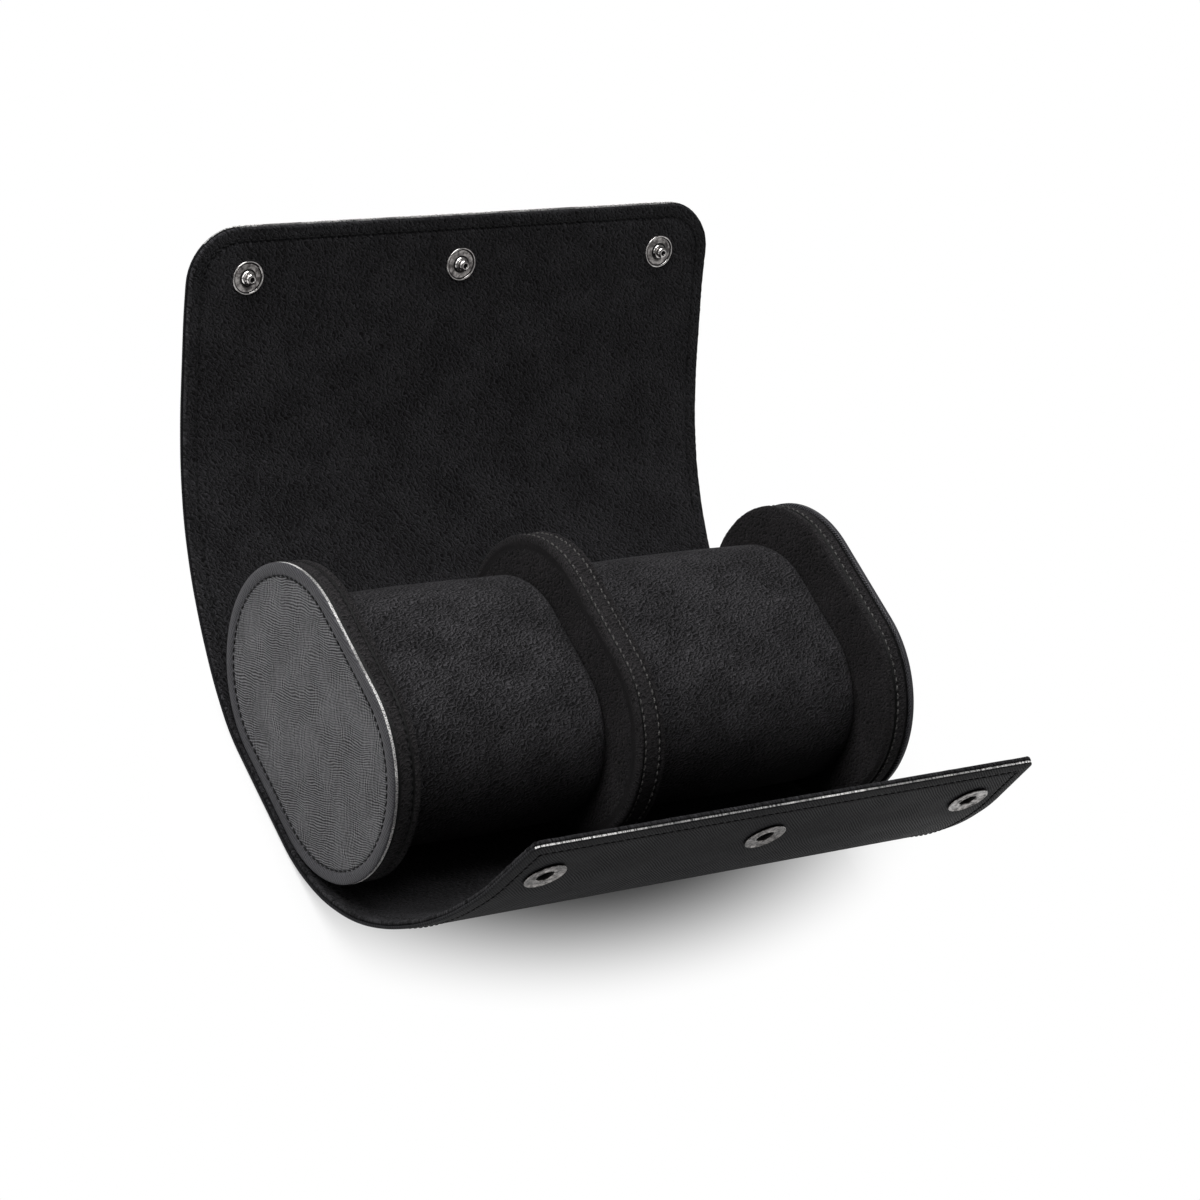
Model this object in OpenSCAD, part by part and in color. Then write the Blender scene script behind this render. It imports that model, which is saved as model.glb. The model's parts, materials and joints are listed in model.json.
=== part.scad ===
/* [Roll] */
// Length from the outer face of one end disc to the outer face of the other
roll_len = 200; // [160:1:240]
// Straight run along the top and bottom of a disc
disc_straight = 32; // [20:0.5:44]
// Radius of the two round ends of a disc
disc_r = 36.5; // [30:0.5:44]
// Thickness of an end disc
end_disc_t = 10.5; // [8:0.25:14]
// Thickness of the divider between the two bays
divider_t = 10.2; // [8:0.2:14]
// Where the middle of the divider stands along the roll
divider_x = -5; // [-15:0.5:15]

/* [Disc covering] */
// Thickness of the leather on an outer face
face_t = 1.4; // [1:0.1:2]
// Width of the rolled border inside the edge of an outer face
border_w = 4.2; // [3:0.1:6]
// Height of the rolled border above the middle of the face
border_h = 0.5; // [0.3:0.1:0.8]
// Thickness of the suede on an inner face
suede_t = 1.2; // [0.8:0.1:2]
// Depth of the groove that each line of stitches pulls down
stitch_groove = 0.25; // [0.15:0.05:0.4]
// Thickness of the suede band round the rim
rim_t = 1.2; // [0.8:0.1:2]
// Radius of the welt along a sewn edge of the rim
welt_r = 0.8; // [0.5:0.1:1.2]
// How far a welt stands out from the band
welt_proud = 0.5; // [0.3:0.1:0.8]

/* [Wrap] */
// Width of the wrap across the lid
wrap_w = 202; // [162:1:246]
// Width of the front flap at its lip
lip_w = 188; // [150:1:230]
// Thickness of the outer leather
leather_t = 1.4; // [1:0.1:2]
// Thickness of the suede lining with its padding
lining_t = 1.4; // [1.2:0.1:2]
// Radius of the two corners at the end of the lid
lid_corner_r = 18; // [8:1:26]
// Size of the small chamfer on the corners of the lip
lip_chamfer = 2.5; // [1:0.5:5]
// Clearance between the closed wrap and the discs
wrap_gap = 0.3; // [0.3:0.05:0.6]
// Gap left along every fold line
fold_gap = 0.32; // [0.3:0.02:0.6]
// Space for the snaps between the closed lid and the flap under it
layer_gap = 1; // [0.9:0.1:2]

/* [Open pose] */
// Turn at each fold of the lid when it stands open
lid_turns = [15, 7.5, 5, 7, 8, 6.5, 4.5]; // [3:0.5:24] for each fold
// Turn at each fold of the front flap when it stands open
flap_turns = [17, 16, 13, 10.5, 8.5, 8.5, 8]; // [3:0.5:24] for each fold
// Turn at the fold where the end of the lid peels back
peel_turn = 4; // [2:0.5:6]

/* [Snaps] */
// Distance between neighbouring snaps along the roll
snap_pitch = 80; // [60:1:90]
// Distance from a stud to the end of the lid
stud_inset = 16.5; // [14:0.5:20]
// Distance from a stud back to the fold before it
stud_from_fold = 11.5; // [10:0.5:14]
// Distance from a socket to the lip of the flap
socket_inset = 20; // [16:0.5:26]
// Distance from a socket back to the fold before it
socket_from_fold = 9.5; // [9:0.5:14]
// Diameter of the flange of a stud
stud_flange_d = 11; // [10:0.2:12.4]
// Height of a stud above the lining
stud_h = 3; // [2.8:0.1:3]
// Diameter of the ball at the tip of a stud
ball_d = 3.8; // [3.4:0.1:4.2]
// Diameter of the collar round the ball
collar_d = 6; // [5.6:0.1:6.4]
// Outer diameter of a socket ring
ring_d = 13.4; // [12:0.2:14]
// Diameter of the hole in a socket
socket_bore_d = 5; // [4.8:0.1:5.4]
// How far rings and flanges stand above the surface they are set in
snap_proud = 0.4; // [0.3:0.05:0.4]
// Diameter of the washers that hold the snaps from behind
washer_d = 9; // [8.6:0.2:10]

/* [Pillows] */
// Straight run in the section of a pillow
pillow_straight = 25; // [16:0.5:30]
// Radius of the round sides of a pillow at its fullest
pillow_r = 29.8; // [24:0.2:32]
// How much the radius of a pillow falls from its middle to its ends
pillow_crown = 0.8; // [0.4:0.1:2]
// Radius of the soft edge round each end of a pillow
pillow_edge_r = 4; // [3:0.5:6]
// Gap between the end of a pillow and the disc beside it
pillow_end_gap = 0.7; // [0.4:0.1:2]
// How far behind the middle of the discs a pillow lies
pillow_y = 2; // [0:0.5:3]
// Clearance under a pillow
pillow_floor_gap = 0.3; // [0.3:0.05:1]
// Thickness of the suede sleeve of a pillow at its ends
sleeve_t = 2.4; // [1.6:0.2:4]
// Thickness of the end panels of a pillow
end_panel_t = 1.6; // [1:0.2:3]
// How deep an end panel is set into the end of a pillow
end_panel_inset = 0.6; // [0.4:0.1:1.5]

/* [Hidden] */
// Folds that carry each side of the wrap round the discs; the lid has one more, where it peels
ROUND_FOLDS = 7;
FLAP_STRIPS = ROUND_FOLDS;
LID_STRIPS = ROUND_FOLDS + 1;

// Names of the sub-parts

$fn = 96;
// Colours of the materials
LEATHER = "#2b2b2e";
SUEDE = "#17161a";
METAL = "#b9b5ae";
FOAM = "#4a4a4c";
BOARD = "#6b5f52";
// Overlap used only between a cutter and what it cuts
cut = 1;

// Wall of the wrap, and the height of the middle of the discs above the ground
wall_t = leather_t + lining_t;
disc_z = disc_r + wall_t;

// Turns of the closed wrap: the flap goes half way round, the lid a little less
flap_closed_turn = 180 / ROUND_FOLDS;
lid_closed_turn = (180 - peel_turn) / ROUND_FOLDS;

// Rise and run of a closed row of folds, per unit of strip length
function closed_rise(turn) = sum([for (k = [1:ROUND_FOLDS - 1]) sin(k * turn)]);
function closed_run(turn) = sum([for (k = [1:ROUND_FOLDS - 1]) cos(k * turn)]);
function sum(v, n = 0) = n >= len(v) ? 0 : v[n] + sum(v, n + 1);
function sum_to(v, n) = n < 0 ? 0 : v[n] + sum_to(v, n - 1);

// Slack between the first fold of each side and the place where a disc starts to curve
flap_ease = 0.6;
lid_ease = 0.8;

// Flap: strips that carry it from the flat base to just above the flat top of the discs
flap_pitch = (2 * disc_r + wrap_gap) / closed_rise(flap_closed_turn);
flap_base_y = disc_straight / 2 + flap_pitch / 2 + flap_ease;
flap_end_len = socket_from_fold + socket_inset;
flap_lens = [for (k = [1:FLAP_STRIPS]) k < FLAP_STRIPS ? flap_pitch : flap_end_len];

// Where a socket lies in front of the middle of the discs once the flap is closed
snap_closed_y = flap_base_y + flap_pitch * closed_run(flap_closed_turn) - socket_from_fold;

// Lid: strips that carry it one layer higher, with its studs over the sockets
lid_rise = 2 * disc_r + wrap_gap + wall_t + layer_gap;
lid_reach = disc_straight / 2 + lid_ease - stud_from_fold + snap_closed_y;
lid_pitch = (lid_rise - tan(peel_turn) * lid_reach)
    / (closed_rise(lid_closed_turn) + tan(peel_turn) * (closed_run(lid_closed_turn) + 1 / 2));
lid_base_y = disc_straight / 2 + lid_pitch / 2 + lid_ease;
lid_top_len = (lid_base_y + lid_pitch * closed_run(lid_closed_turn) - stud_from_fold
    + snap_closed_y) / cos(peel_turn);
lid_end_len = stud_from_fold + stud_inset;
lid_lens = [for (k = [1:LID_STRIPS])
    k < ROUND_FOLDS ? lid_pitch : (k == ROUND_FOLDS ? lid_top_len : lid_end_len)];
lid_all_turns = concat(lid_turns, [peel_turn]);

// Heading of a strip and the place of the fold that it starts from, as [along, up]
function heading(turns, k) = sum_to(turns, k - 1);
function fold_at(base_y, lens, turns, k) = k == 1
    ? [base_y, wall_t]
    : fold_at(base_y, lens, turns, k - 1)
        + lens[k - 2] * [cos(heading(turns, k - 1)), sin(heading(turns, k - 1))];

// Width of the flap a length s along it, full at first and tapering over its outer half
flap_taper_from = 3 * flap_pitch;
flap_len = sum(flap_lens);
function flap_half_w(s) = wrap_w / 2
    - max(0, s - flap_taper_from) / (flap_len - flap_taper_from) * (wrap_w - lip_w) / 2;

// Bays between the discs
left_bay = [-roll_len / 2 + end_disc_t, divider_x - divider_t / 2];
right_bay = [divider_x + divider_t / 2, roll_len / 2 - end_disc_t];

// Snaps: how deep a flange is let in, its post, its rolled rim, and the rounding of its edges
snap_seat = 0.5;
stud_post_d = 3.2;
stud_post_depth = 0.9;
stud_rim_w = 1.1;
snap_edge = 0.3;

// Barrel of a socket, the reach of the barrel past the leather, and its closed washer
barrel_wall = 1.2;
barrel_d = socket_bore_d + 2 * barrel_wall;
barrel_reach = 0.75;
barrel_depth = leather_t + barrel_reach;
bore_lip_w = 1.1;
washer_floor = 0.4;

// Slack round each piece of a snap in its hole
fit = 0.05;

// Stadium outline shared by the discs, the divider and the pillows
module stadium(straight, r) {
    square([straight, 2 * r], center = true);
    for (side = [-1, 1])
        translate([side * straight / 2, 0])
            circle(r = r);
}

// Flat plate of the stadium outline, standing across the roll from x to x + t
module disc_plate(x, t, r) {
    translate([x, 0, disc_z])
        rotate([90, 0, 90])
            linear_extrude(t)
                stadium(disc_straight, r);
}

// A section carried round the stadium: its x is the radius and its y runs along the roll
module round_stadium(x, facing = 1) {
    translate([x, 0, disc_z])
        rotate([90, 0, 90])
            mirror([0, 0, facing > 0 ? 0 : 1]) {
                for (side = [-1, 1])
                    translate([side * disc_straight / 2, 0, 0])
                        rotate([0, 0, -90 * side])
                            rotate_extrude(angle = 180)
                                children();
                for (side = [0, 1])
                    mirror([0, side, 0])
                        translate([-disc_straight / 2, 0, 0])
                            rotate([90, 0, 90])
                                linear_extrude(disc_straight)
                                    children();
            }
}

// Leather cover of an outer face: flat middle, stitched groove, rolled border
module leather_face_section() {
    edge = border_h;
    groove = disc_r - border_w;
    polygon([
        [0, 0],
        [disc_r - edge, 0],
        [disc_r, edge],
        [disc_r, face_t - edge],
        [disc_r - edge, face_t + border_h / 2],
        [disc_r - border_w / 3, face_t + border_h],
        [disc_r - border_w * 2 / 3, face_t + border_h],
        [groove + stitch_groove, face_t],
        [groove, face_t - stitch_groove],
        [groove - 2 * stitch_groove, face_t],
        [0, face_t]
    ]);
}

// Suede cover of an inner face: soft outer edge and a stitched groove
module suede_face_section() {
    edge = suede_t / 2;
    groove = disc_r - border_w;
    outer = disc_r - welt_proud;
    polygon([
        [0, 0],
        [outer, 0],
        [outer, suede_t - edge],
        [outer - edge / 3, suede_t - edge / 3],
        [outer - edge, suede_t],
        [groove + stitch_groove, suede_t],
        [groove, suede_t - stitch_groove],
        [groove - stitch_groove, suede_t],
        [0, suede_t]
    ]);
}

// Suede band round the rim, with a welt along each edge listed
module rim_section(width, welts) {
    translate([disc_r - rim_t, 0])
        square([rim_t - welt_proud, width]);
    for (at = welts)
        intersection() {
            translate([disc_r - welt_r, at])
                circle(r = welt_r, $fn = 32);
            translate([disc_r - rim_t, at - welt_r])
                square([rim_t, 2 * welt_r]);
        }
}

// End discs: side is -1 at the left and 1 at the right
module end_disc_core(side) {
    t = end_disc_t - face_t - border_h - suede_t;
    x = side * (roll_len / 2 - face_t - border_h) - (side > 0 ? t : 0);
    color(BOARD)
        disc_plate(x, t, disc_r - rim_t);
}

module end_disc_face(side) {
    color(LEATHER)
        round_stadium(side * (roll_len / 2 - face_t - border_h), side)
            leather_face_section();
}

module end_disc_suede(side) {
    color(SUEDE)
        round_stadium(side * (roll_len / 2 - end_disc_t + suede_t), -side)
            suede_face_section();
}

module end_disc_rim(side) {
    width = end_disc_t - face_t - border_h - suede_t;
    color(SUEDE)
        round_stadium(side * (roll_len / 2 - end_disc_t + suede_t), side)
            rim_section(width, [welt_r]);
}

// Divider between the bays
module divider_core() {
    color(BOARD)
        disc_plate(divider_x - divider_t / 2 + suede_t, divider_t - 2 * suede_t, disc_r - rim_t);
}

module divider_suede(side) {
    color(SUEDE)
        round_stadium(divider_x + side * (divider_t / 2 - suede_t), side)
            suede_face_section();
}

module divider_rim() {
    width = divider_t - 2 * suede_t;
    color(SUEDE)
        round_stadium(divider_x - width / 2, 1)
            rim_section(width, [welt_r, width - welt_r]);
}

// Places a strip that starts from fold k: its y runs along the strip, its z points inward
module on_lid(k) {
    at = fold_at(lid_base_y, lid_lens, lid_all_turns, k);
    translate([0, at[0], at[1]])
        rotate([heading(lid_all_turns, k), 0, 0])
            children();
}

module on_flap(k) {
    at = fold_at(flap_base_y, flap_lens, flap_turns, k);
    mirror([0, 1, 0])
        translate([0, at[0], at[1]])
            rotate([heading(flap_turns, k), 0, 0])
                children();
}

// Outline of a lid strip, with the two round corners on the last one
module lid_strip_plan(k) {
    length = lid_lens[k - 1];
    if (k < LID_STRIPS) {
        translate([-wrap_w / 2, fold_gap / 2])
            square([wrap_w, length - fold_gap]);
    } else {
        intersection() {
            translate([-wrap_w / 2, fold_gap / 2])
                square([wrap_w, length - fold_gap / 2]);
            union() {
                translate([-wrap_w / 2, 0])
                    square([wrap_w, length - lid_corner_r]);
                translate([-wrap_w / 2 + lid_corner_r, 0])
                    square([wrap_w - 2 * lid_corner_r, length]);
                for (side = [-1, 1])
                    translate([side * (wrap_w / 2 - lid_corner_r), length - lid_corner_r])
                        circle(r = lid_corner_r);
            }
        }
    }
}

// Outline of a flap strip, tapering toward the lip
module flap_strip_plan(k) {
    last = k == FLAP_STRIPS;
    s = sum_to(flap_lens, k - 2);
    near = fold_gap / 2;
    far = flap_lens[k - 1] - (last ? 0 : fold_gap / 2);
    w_near = flap_half_w(s + near);
    w_far = flap_half_w(s + far);
    corner = last ? lip_chamfer : 0;
    right = last
        ? [[w_near, near], [w_far, far - corner], [w_far - corner, far]]
        : [[w_near, near], [w_far, far]];
    left = [for (i = [len(right) - 1:-1:0]) [-right[i][0], right[i][1]]];
    polygon(concat(right, left));
}

// The three snaps across the roll
module each_snap(along) {
    for (x = [-snap_pitch, 0, snap_pitch])
        translate([x, along, 0])
            children();
}

// Holes for the snaps: the stud seat and post, and the socket barrel, each with its washer
module stud_holes() {
    each_snap(stud_from_fold) {
        translate([0, 0, -snap_seat])
            cylinder(d = stud_flange_d + 2 * fit, h = snap_seat + cut);
        translate([0, 0, -lining_t - cut])
            cylinder(d = stud_post_d + 2 * fit, h = cut + lining_t);
        translate([0, 0, -lining_t - cut])
            cylinder(d = washer_d + 2 * fit, h = cut + lining_t - stud_post_depth);
    }
}

module socket_lining_holes() {
    each_snap(socket_from_fold)
        translate([0, 0, -lining_t - cut])
            cylinder(d = washer_d + 2 * fit, h = cut + barrel_reach + washer_floor);
}

module socket_leather_holes() {
    each_snap(socket_from_fold) {
        translate([0, 0, -wall_t - cut])
            cylinder(d = barrel_d + 2 * fit, h = wall_t + 2 * cut);
        translate([0, 0, -wall_t - cut])
            cylinder(d = ring_d + 2 * fit, h = cut + snap_proud);
    }
}

// Strips of the lid
module lid_leather(k) {
    color(LEATHER)
        on_lid(k)
            translate([0, 0, -wall_t])
                linear_extrude(leather_t)
                    lid_strip_plan(k);
}

module lid_lining(k) {
    color(SUEDE)
        on_lid(k)
            difference() {
                translate([0, 0, -lining_t])
                    linear_extrude(lining_t)
                        lid_strip_plan(k);
                if (k == LID_STRIPS)
                    stud_holes();
            }
}

// Strips of the front flap
module flap_leather(k) {
    color(LEATHER)
        on_flap(k)
            difference() {
                translate([0, 0, -wall_t])
                    linear_extrude(leather_t)
                        flap_strip_plan(k);
                if (k == FLAP_STRIPS)
                    socket_leather_holes();
            }
}

module flap_lining(k) {
    color(SUEDE)
        on_flap(k)
            difference() {
                translate([0, 0, -lining_t])
                    linear_extrude(lining_t)
                        flap_strip_plan(k);
                if (k == FLAP_STRIPS)
                    socket_lining_holes();
            }
}

// Flat base of the wrap, which the discs are sewn to
module base_layer(z, t) {
    depth = flap_base_y + lid_base_y - fold_gap;
    translate([-wrap_w / 2, -flap_base_y + fold_gap / 2, z])
        cube([wrap_w, depth, t]);
}

module base_leather() {
    color(LEATHER)
        base_layer(0, leather_t);
}

module base_lining() {
    color(SUEDE)
        base_layer(leather_t, lining_t);
}

// Stud: flange with a sunk ring, collar, ball tip and a post through the lining
module stud() {
    flange_r = stud_flange_d / 2;
    rim_in = flange_r - stud_rim_w;
    collar_r = collar_d / 2;
    post_r = stud_post_d / 2;
    ball_r = ball_d / 2;
    ball_z = stud_h - ball_r;
    collar_top = snap_proud + snap_edge;
    rotate_extrude() {
        polygon([
            [0, -stud_post_depth],
            [post_r, -stud_post_depth],
            [post_r, -snap_seat],
            [flange_r - snap_edge, -snap_seat],
            [flange_r, -snap_seat + snap_edge],
            [flange_r, snap_proud - snap_edge],
            [flange_r - snap_edge, snap_proud],
            [rim_in, snap_proud],
            [rim_in - snap_edge, 0],
            [collar_r + snap_edge, 0],
            [collar_r, snap_proud],
            [collar_r - snap_edge, collar_top],
            [0, collar_top]
        ]);
        intersection() {
            translate([0, ball_z])
                circle(r = ball_r, $fn = 48);
            square([ball_r, stud_h]);
        }
    }
}

// Socket: proud ring with a dished face round the hole, and a barrel through the leather
module socket() {
    ring_r = ring_d / 2;
    bore_r = socket_bore_d / 2;
    barrel_r = barrel_d / 2;
    face = -wall_t - snap_proud;
    seat = -wall_t + snap_proud;
    rotate_extrude()
        polygon([
            [bore_r, -wall_t + barrel_depth],
            [barrel_r, -wall_t + barrel_depth],
            [barrel_r, seat],
            [ring_r - snap_edge, seat],
            [ring_r, seat - snap_edge],
            [ring_r, face + snap_edge],
            [ring_r - snap_edge, face],
            [bore_r + bore_lip_w, face],
            [bore_r + bore_lip_w - snap_edge, face + snap_edge],
            [bore_r, face + snap_edge]
        ]);
}

module snap_studs() {
    color(METAL)
        on_lid(LID_STRIPS)
            each_snap(stud_from_fold)
                stud();
}

module stud_washers() {
    color(METAL)
        on_lid(LID_STRIPS)
            each_snap(stud_from_fold)
                translate([0, 0, -lining_t])
                    cylinder(d = washer_d, h = lining_t - stud_post_depth);
}

module snap_sockets() {
    color(METAL)
        on_flap(FLAP_STRIPS)
            each_snap(socket_from_fold)
                socket();
}

module socket_washers() {
    color(METAL)
        on_flap(FLAP_STRIPS)
            each_snap(socket_from_fold)
                difference() {
                    translate([0, 0, -lining_t])
                        cylinder(d = washer_d, h = barrel_reach + washer_floor);
                    translate([0, 0, -lining_t - cut])
                        cylinder(d = barrel_d + 2 * fit, h = cut + barrel_reach);
                }
}

// Pillow: a crowned stadium cushion whose ends draw in round a soft edge
PILLOW_RINGS = 14;
PILLOW_SIDES = 40;
edge_draw_in = 0.55;
pillow_z = wall_t + pillow_floor_gap + pillow_r;
foam_r = pillow_r - pillow_crown - sleeve_t;

// Radius of the pillow a share u of the way along it, from 0 to 1
function pillow_radius(u, length) =
    let (
        from_end = min(u, 1 - u) * length,
        crown = pillow_crown * pow(2 * abs(u - 1 / 2), 2),
        into_edge = max(0, pillow_edge_r - from_end),
        edge = pillow_edge_r - sqrt(pow(pillow_edge_r, 2) - pow(into_edge, 2))
    )
    pillow_r - crown - edge * edge_draw_in;

// Ring positions crowd together toward both ends
function pillow_station(i) = (1 - cos(180 * i / PILLOW_RINGS)) / 2;

// Point j of the stadium of radius r, counted round from the right
function stadium_point(straight, r, j) =
    let (a = 360 * (j + 1 / 2) / PILLOW_SIDES)
    [r * cos(a) + sign(cos(a)) * straight / 2, r * sin(a)];

module pillow_form(length) {
    points = [for (i = [0:PILLOW_RINGS]) for (j = [0:PILLOW_SIDES - 1])
        let (
            u = pillow_station(i),
            q = stadium_point(pillow_straight, pillow_radius(u, length), j)
        )
        [u * length, q[0], q[1]]];
    walls = [for (i = [0:PILLOW_RINGS - 1]) for (j = [0:PILLOW_SIDES - 1])
        let (
            a = i * PILLOW_SIDES + j,
            b = i * PILLOW_SIDES + (j + 1) % PILLOW_SIDES
        )
        each [[a, a + PILLOW_SIDES, b], [b, a + PILLOW_SIDES, b + PILLOW_SIDES]]];
    last = PILLOW_RINGS * PILLOW_SIDES;
    caps = [for (j = [1:PILLOW_SIDES - 2])
        each [[0, j, j + 1], [last, last + j + 1, last + j]]];
    polyhedron(points, concat(walls, caps));
}

// Places a pillow in its bay, with x counted from the left end of the pillow
module in_bay(bay) {
    translate([bay[0] + pillow_end_gap, pillow_y, pillow_z])
        children();
}

function pillow_len(bay) = bay[1] - bay[0] - 2 * pillow_end_gap;

module pillow_bore(x, length) {
    translate([x, 0, 0])
        rotate([90, 0, 90])
            linear_extrude(length)
                stadium(pillow_straight, foam_r);
}

module pillow_sleeve(bay) {
    color(SUEDE)
        in_bay(bay)
            difference() {
                pillow_form(pillow_len(bay));
                pillow_bore(-cut, pillow_len(bay) + 2 * cut);
            }
}

module pillow_foam(bay) {
    from = end_panel_inset + end_panel_t;
    color(FOAM)
        in_bay(bay)
            pillow_bore(from, pillow_len(bay) - 2 * from);
}

module pillow_end_panels(bay) {
    color(SUEDE)
        in_bay(bay)
            for (x = [end_panel_inset, pillow_len(bay) - end_panel_inset - end_panel_t])
                pillow_bore(x, end_panel_t);
}

base_leather();
base_lining();
for (k = [1:LID_STRIPS]) {
    lid_leather(k);
    lid_lining(k);
}
for (k = [1:FLAP_STRIPS]) {
    flap_leather(k);
    flap_lining(k);
}
end_disc_core(-1);  // left_disc_core
end_disc_face(-1);  // left_disc_face
end_disc_suede(-1);  // left_disc_suede
end_disc_rim(-1);  // left_disc_rim
end_disc_core(1);  // right_disc_core
end_disc_face(1);  // right_disc_face
end_disc_suede(1);  // right_disc_suede
end_disc_rim(1);  // right_disc_rim
divider_core();
divider_suede(-1);  // divider_left_suede
divider_suede(1);  // divider_right_suede
divider_rim();
pillow_foam(left_bay);  // left_pillow_foam
pillow_sleeve(left_bay);  // left_pillow_sleeve
pillow_end_panels(left_bay);  // left_pillow_end_panels
pillow_foam(right_bay);  // right_pillow_foam
pillow_sleeve(right_bay);  // right_pillow_sleeve
pillow_end_panels(right_bay);  // right_pillow_end_panels
snap_studs();
stud_washers();
snap_sockets();
socket_washers();
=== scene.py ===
# %% [markdown]
# # A watch roll in leather and suede
# The roll is one wrap of dark leather, lined with black suede, that stands open round two padded
# bays. The imported model gives the frame: fifteen hinged strips stand for the bending wrap. Every
# piece below is built in that frame, in metres, and the discs, the divider, the pillows and the
# snaps ride on their bodies.

import json
import math

import bmesh
import bpy
import numpy as np
from mathutils import Matrix, Vector, noise


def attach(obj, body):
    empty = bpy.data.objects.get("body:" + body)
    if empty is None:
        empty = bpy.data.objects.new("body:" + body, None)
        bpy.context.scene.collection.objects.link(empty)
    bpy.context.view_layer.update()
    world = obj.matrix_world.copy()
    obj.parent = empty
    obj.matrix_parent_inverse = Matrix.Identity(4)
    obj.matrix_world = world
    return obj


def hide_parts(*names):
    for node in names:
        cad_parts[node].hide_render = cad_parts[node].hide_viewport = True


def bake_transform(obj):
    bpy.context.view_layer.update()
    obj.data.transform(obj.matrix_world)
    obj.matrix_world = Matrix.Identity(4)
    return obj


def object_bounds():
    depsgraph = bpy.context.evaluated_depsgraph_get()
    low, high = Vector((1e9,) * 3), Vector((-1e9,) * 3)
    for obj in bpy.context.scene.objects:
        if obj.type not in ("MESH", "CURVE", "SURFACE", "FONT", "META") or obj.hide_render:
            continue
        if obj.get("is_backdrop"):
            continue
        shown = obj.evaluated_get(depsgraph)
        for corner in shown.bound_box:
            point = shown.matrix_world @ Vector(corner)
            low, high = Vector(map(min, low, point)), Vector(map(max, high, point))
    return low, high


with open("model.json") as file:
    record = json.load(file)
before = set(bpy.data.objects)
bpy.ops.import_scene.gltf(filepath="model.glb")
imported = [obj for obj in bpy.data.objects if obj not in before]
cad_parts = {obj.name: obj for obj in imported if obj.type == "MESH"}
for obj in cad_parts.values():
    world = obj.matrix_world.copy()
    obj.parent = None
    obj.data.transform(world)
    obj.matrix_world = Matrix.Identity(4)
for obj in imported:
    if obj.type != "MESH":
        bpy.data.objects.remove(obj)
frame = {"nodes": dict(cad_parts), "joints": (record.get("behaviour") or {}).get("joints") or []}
cad_low, cad_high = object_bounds()
MM, TINY = 0.001, 1e-9
hinges = {j["name"]: j for j in frame["joints"] if "pos_m" in j}

# %% [markdown]
# ## The camera
# The picture was taken with the roll leaning back, so the camera is first written in the leaning
# view and then turned with the roll until the base lies flat. The centre of the left disc is the
# point that the camera was measured from, which keeps the turn free of any shift.

# %% Place the camera
LEAN = math.radians(42.559)
VIEW_AZIMUTH, VIEW_ELEVATION = math.radians(35.725), math.radians(10.378)
VIEW_DISTANCE = 1.2
FOCAL_PIXELS, PICTURE_PIXELS = 3778.2, 1200
CENTRE_PIXEL = (576.15, 684.03)
SENSOR, CAMERA_REACH = 36.0, 20.0
DISC_CENTRE = Vector((0, 0, 0.0393))


def stood_up(v):
    """A direction of the leaning view, turned with the roll until its base is level."""
    c, s = math.cos(LEAN), math.sin(LEAN)
    return Vector((v[0], v[1] * c + v[2] * s, -v[1] * s + v[2] * c))


sa, ca = math.sin(VIEW_AZIMUTH), math.cos(VIEW_AZIMUTH)
se, ce = math.sin(VIEW_ELEVATION), math.cos(VIEW_ELEVATION)
look = Vector((sa * ce, ca * ce, -se))
right = Vector((ca, -sa, 0))
up = right.cross(look)
pixel = VIEW_DISTANCE / FOCAL_PIXELS
half = PICTURE_PIXELS / 2
place = right * (half - CENTRE_PIXEL[0]) * pixel + up * (CENTRE_PIXEL[1] - half) * pixel
look, right, up, place = (stood_up(v) for v in (look, right, up, place - look * VIEW_DISTANCE))

camera = bpy.data.objects.new("camera", bpy.data.cameras.new("camera"))
bpy.context.scene.collection.objects.link(camera)
camera.data.sensor_width = SENSOR
camera.data.lens = SENSOR * FOCAL_PIXELS / PICTURE_PIXELS
camera.data.clip_end = CAMERA_REACH
camera.matrix_world = Matrix.Translation(DISC_CENTRE + place) @ Matrix(
    (right, up, -look)
).transposed().to_4x4()
bpy.context.scene.camera = camera
bpy.context.scene.view_settings.view_transform = "Standard"
print("camera at", [round(v, 3) for v in camera.location], "lens", round(camera.data.lens, 1))

# %% [markdown]
# ## Floor and light
# The black roll stands on white paper under a wide softbox, with a small lamp on its left, a weak
# one in front and a low even glow all round. Stronger lamps would turn the suede grey, so the paper
# is made white another way. Beyond a soft oval round the roll it shines with strength 1, but only
# for the camera and in part for what the metal mirrors, through the Light Path node. Inside the
# oval it is plain paper and keeps the shadow, and it lights the roll as plain paper everywhere.

# %% Helpers for shader nodes
def add_node(tree, kind, values=None, **settings):
    """A node with its settings, and its inputs set to numbers or linked to other sockets."""
    node = tree.nodes.new(kind)
    for key, value in settings.items():
        setattr(node, key, value)
    for key, value in (values or {}).items():
        if isinstance(value, bpy.types.NodeSocket):
            tree.links.new(value, node.inputs[key])
        else:
            node.inputs[key].default_value = value
    return node


def math_node(tree, operation, *values):
    """The result of a Math node."""
    return add_node(tree, "ShaderNodeMath", dict(enumerate(values)), operation=operation).outputs[0]


def vector_node(tree, operation, *values):
    """The vector that a Vector Math node puts out."""
    values = dict(enumerate(values))
    return add_node(tree, "ShaderNodeVectorMath", values, operation=operation).outputs[0]


def to_range(tree, value, low, high, new_low=0.0, new_high=1.0):
    """A value carried smoothly from one range to another."""
    values = {0: value, 1: low, 2: high, 3: new_low, 4: new_high}
    return add_node(tree, "ShaderNodeMapRange", values, interpolation_type="SMOOTHSTEP").outputs[0]


def blank_material(name):
    """A material with an empty tree and its output."""
    material = bpy.data.materials.new(name)
    material.use_nodes = True
    material.node_tree.nodes.clear()
    output = add_node(material.node_tree, "ShaderNodeOutputMaterial")
    return material, material.node_tree, output


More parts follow.
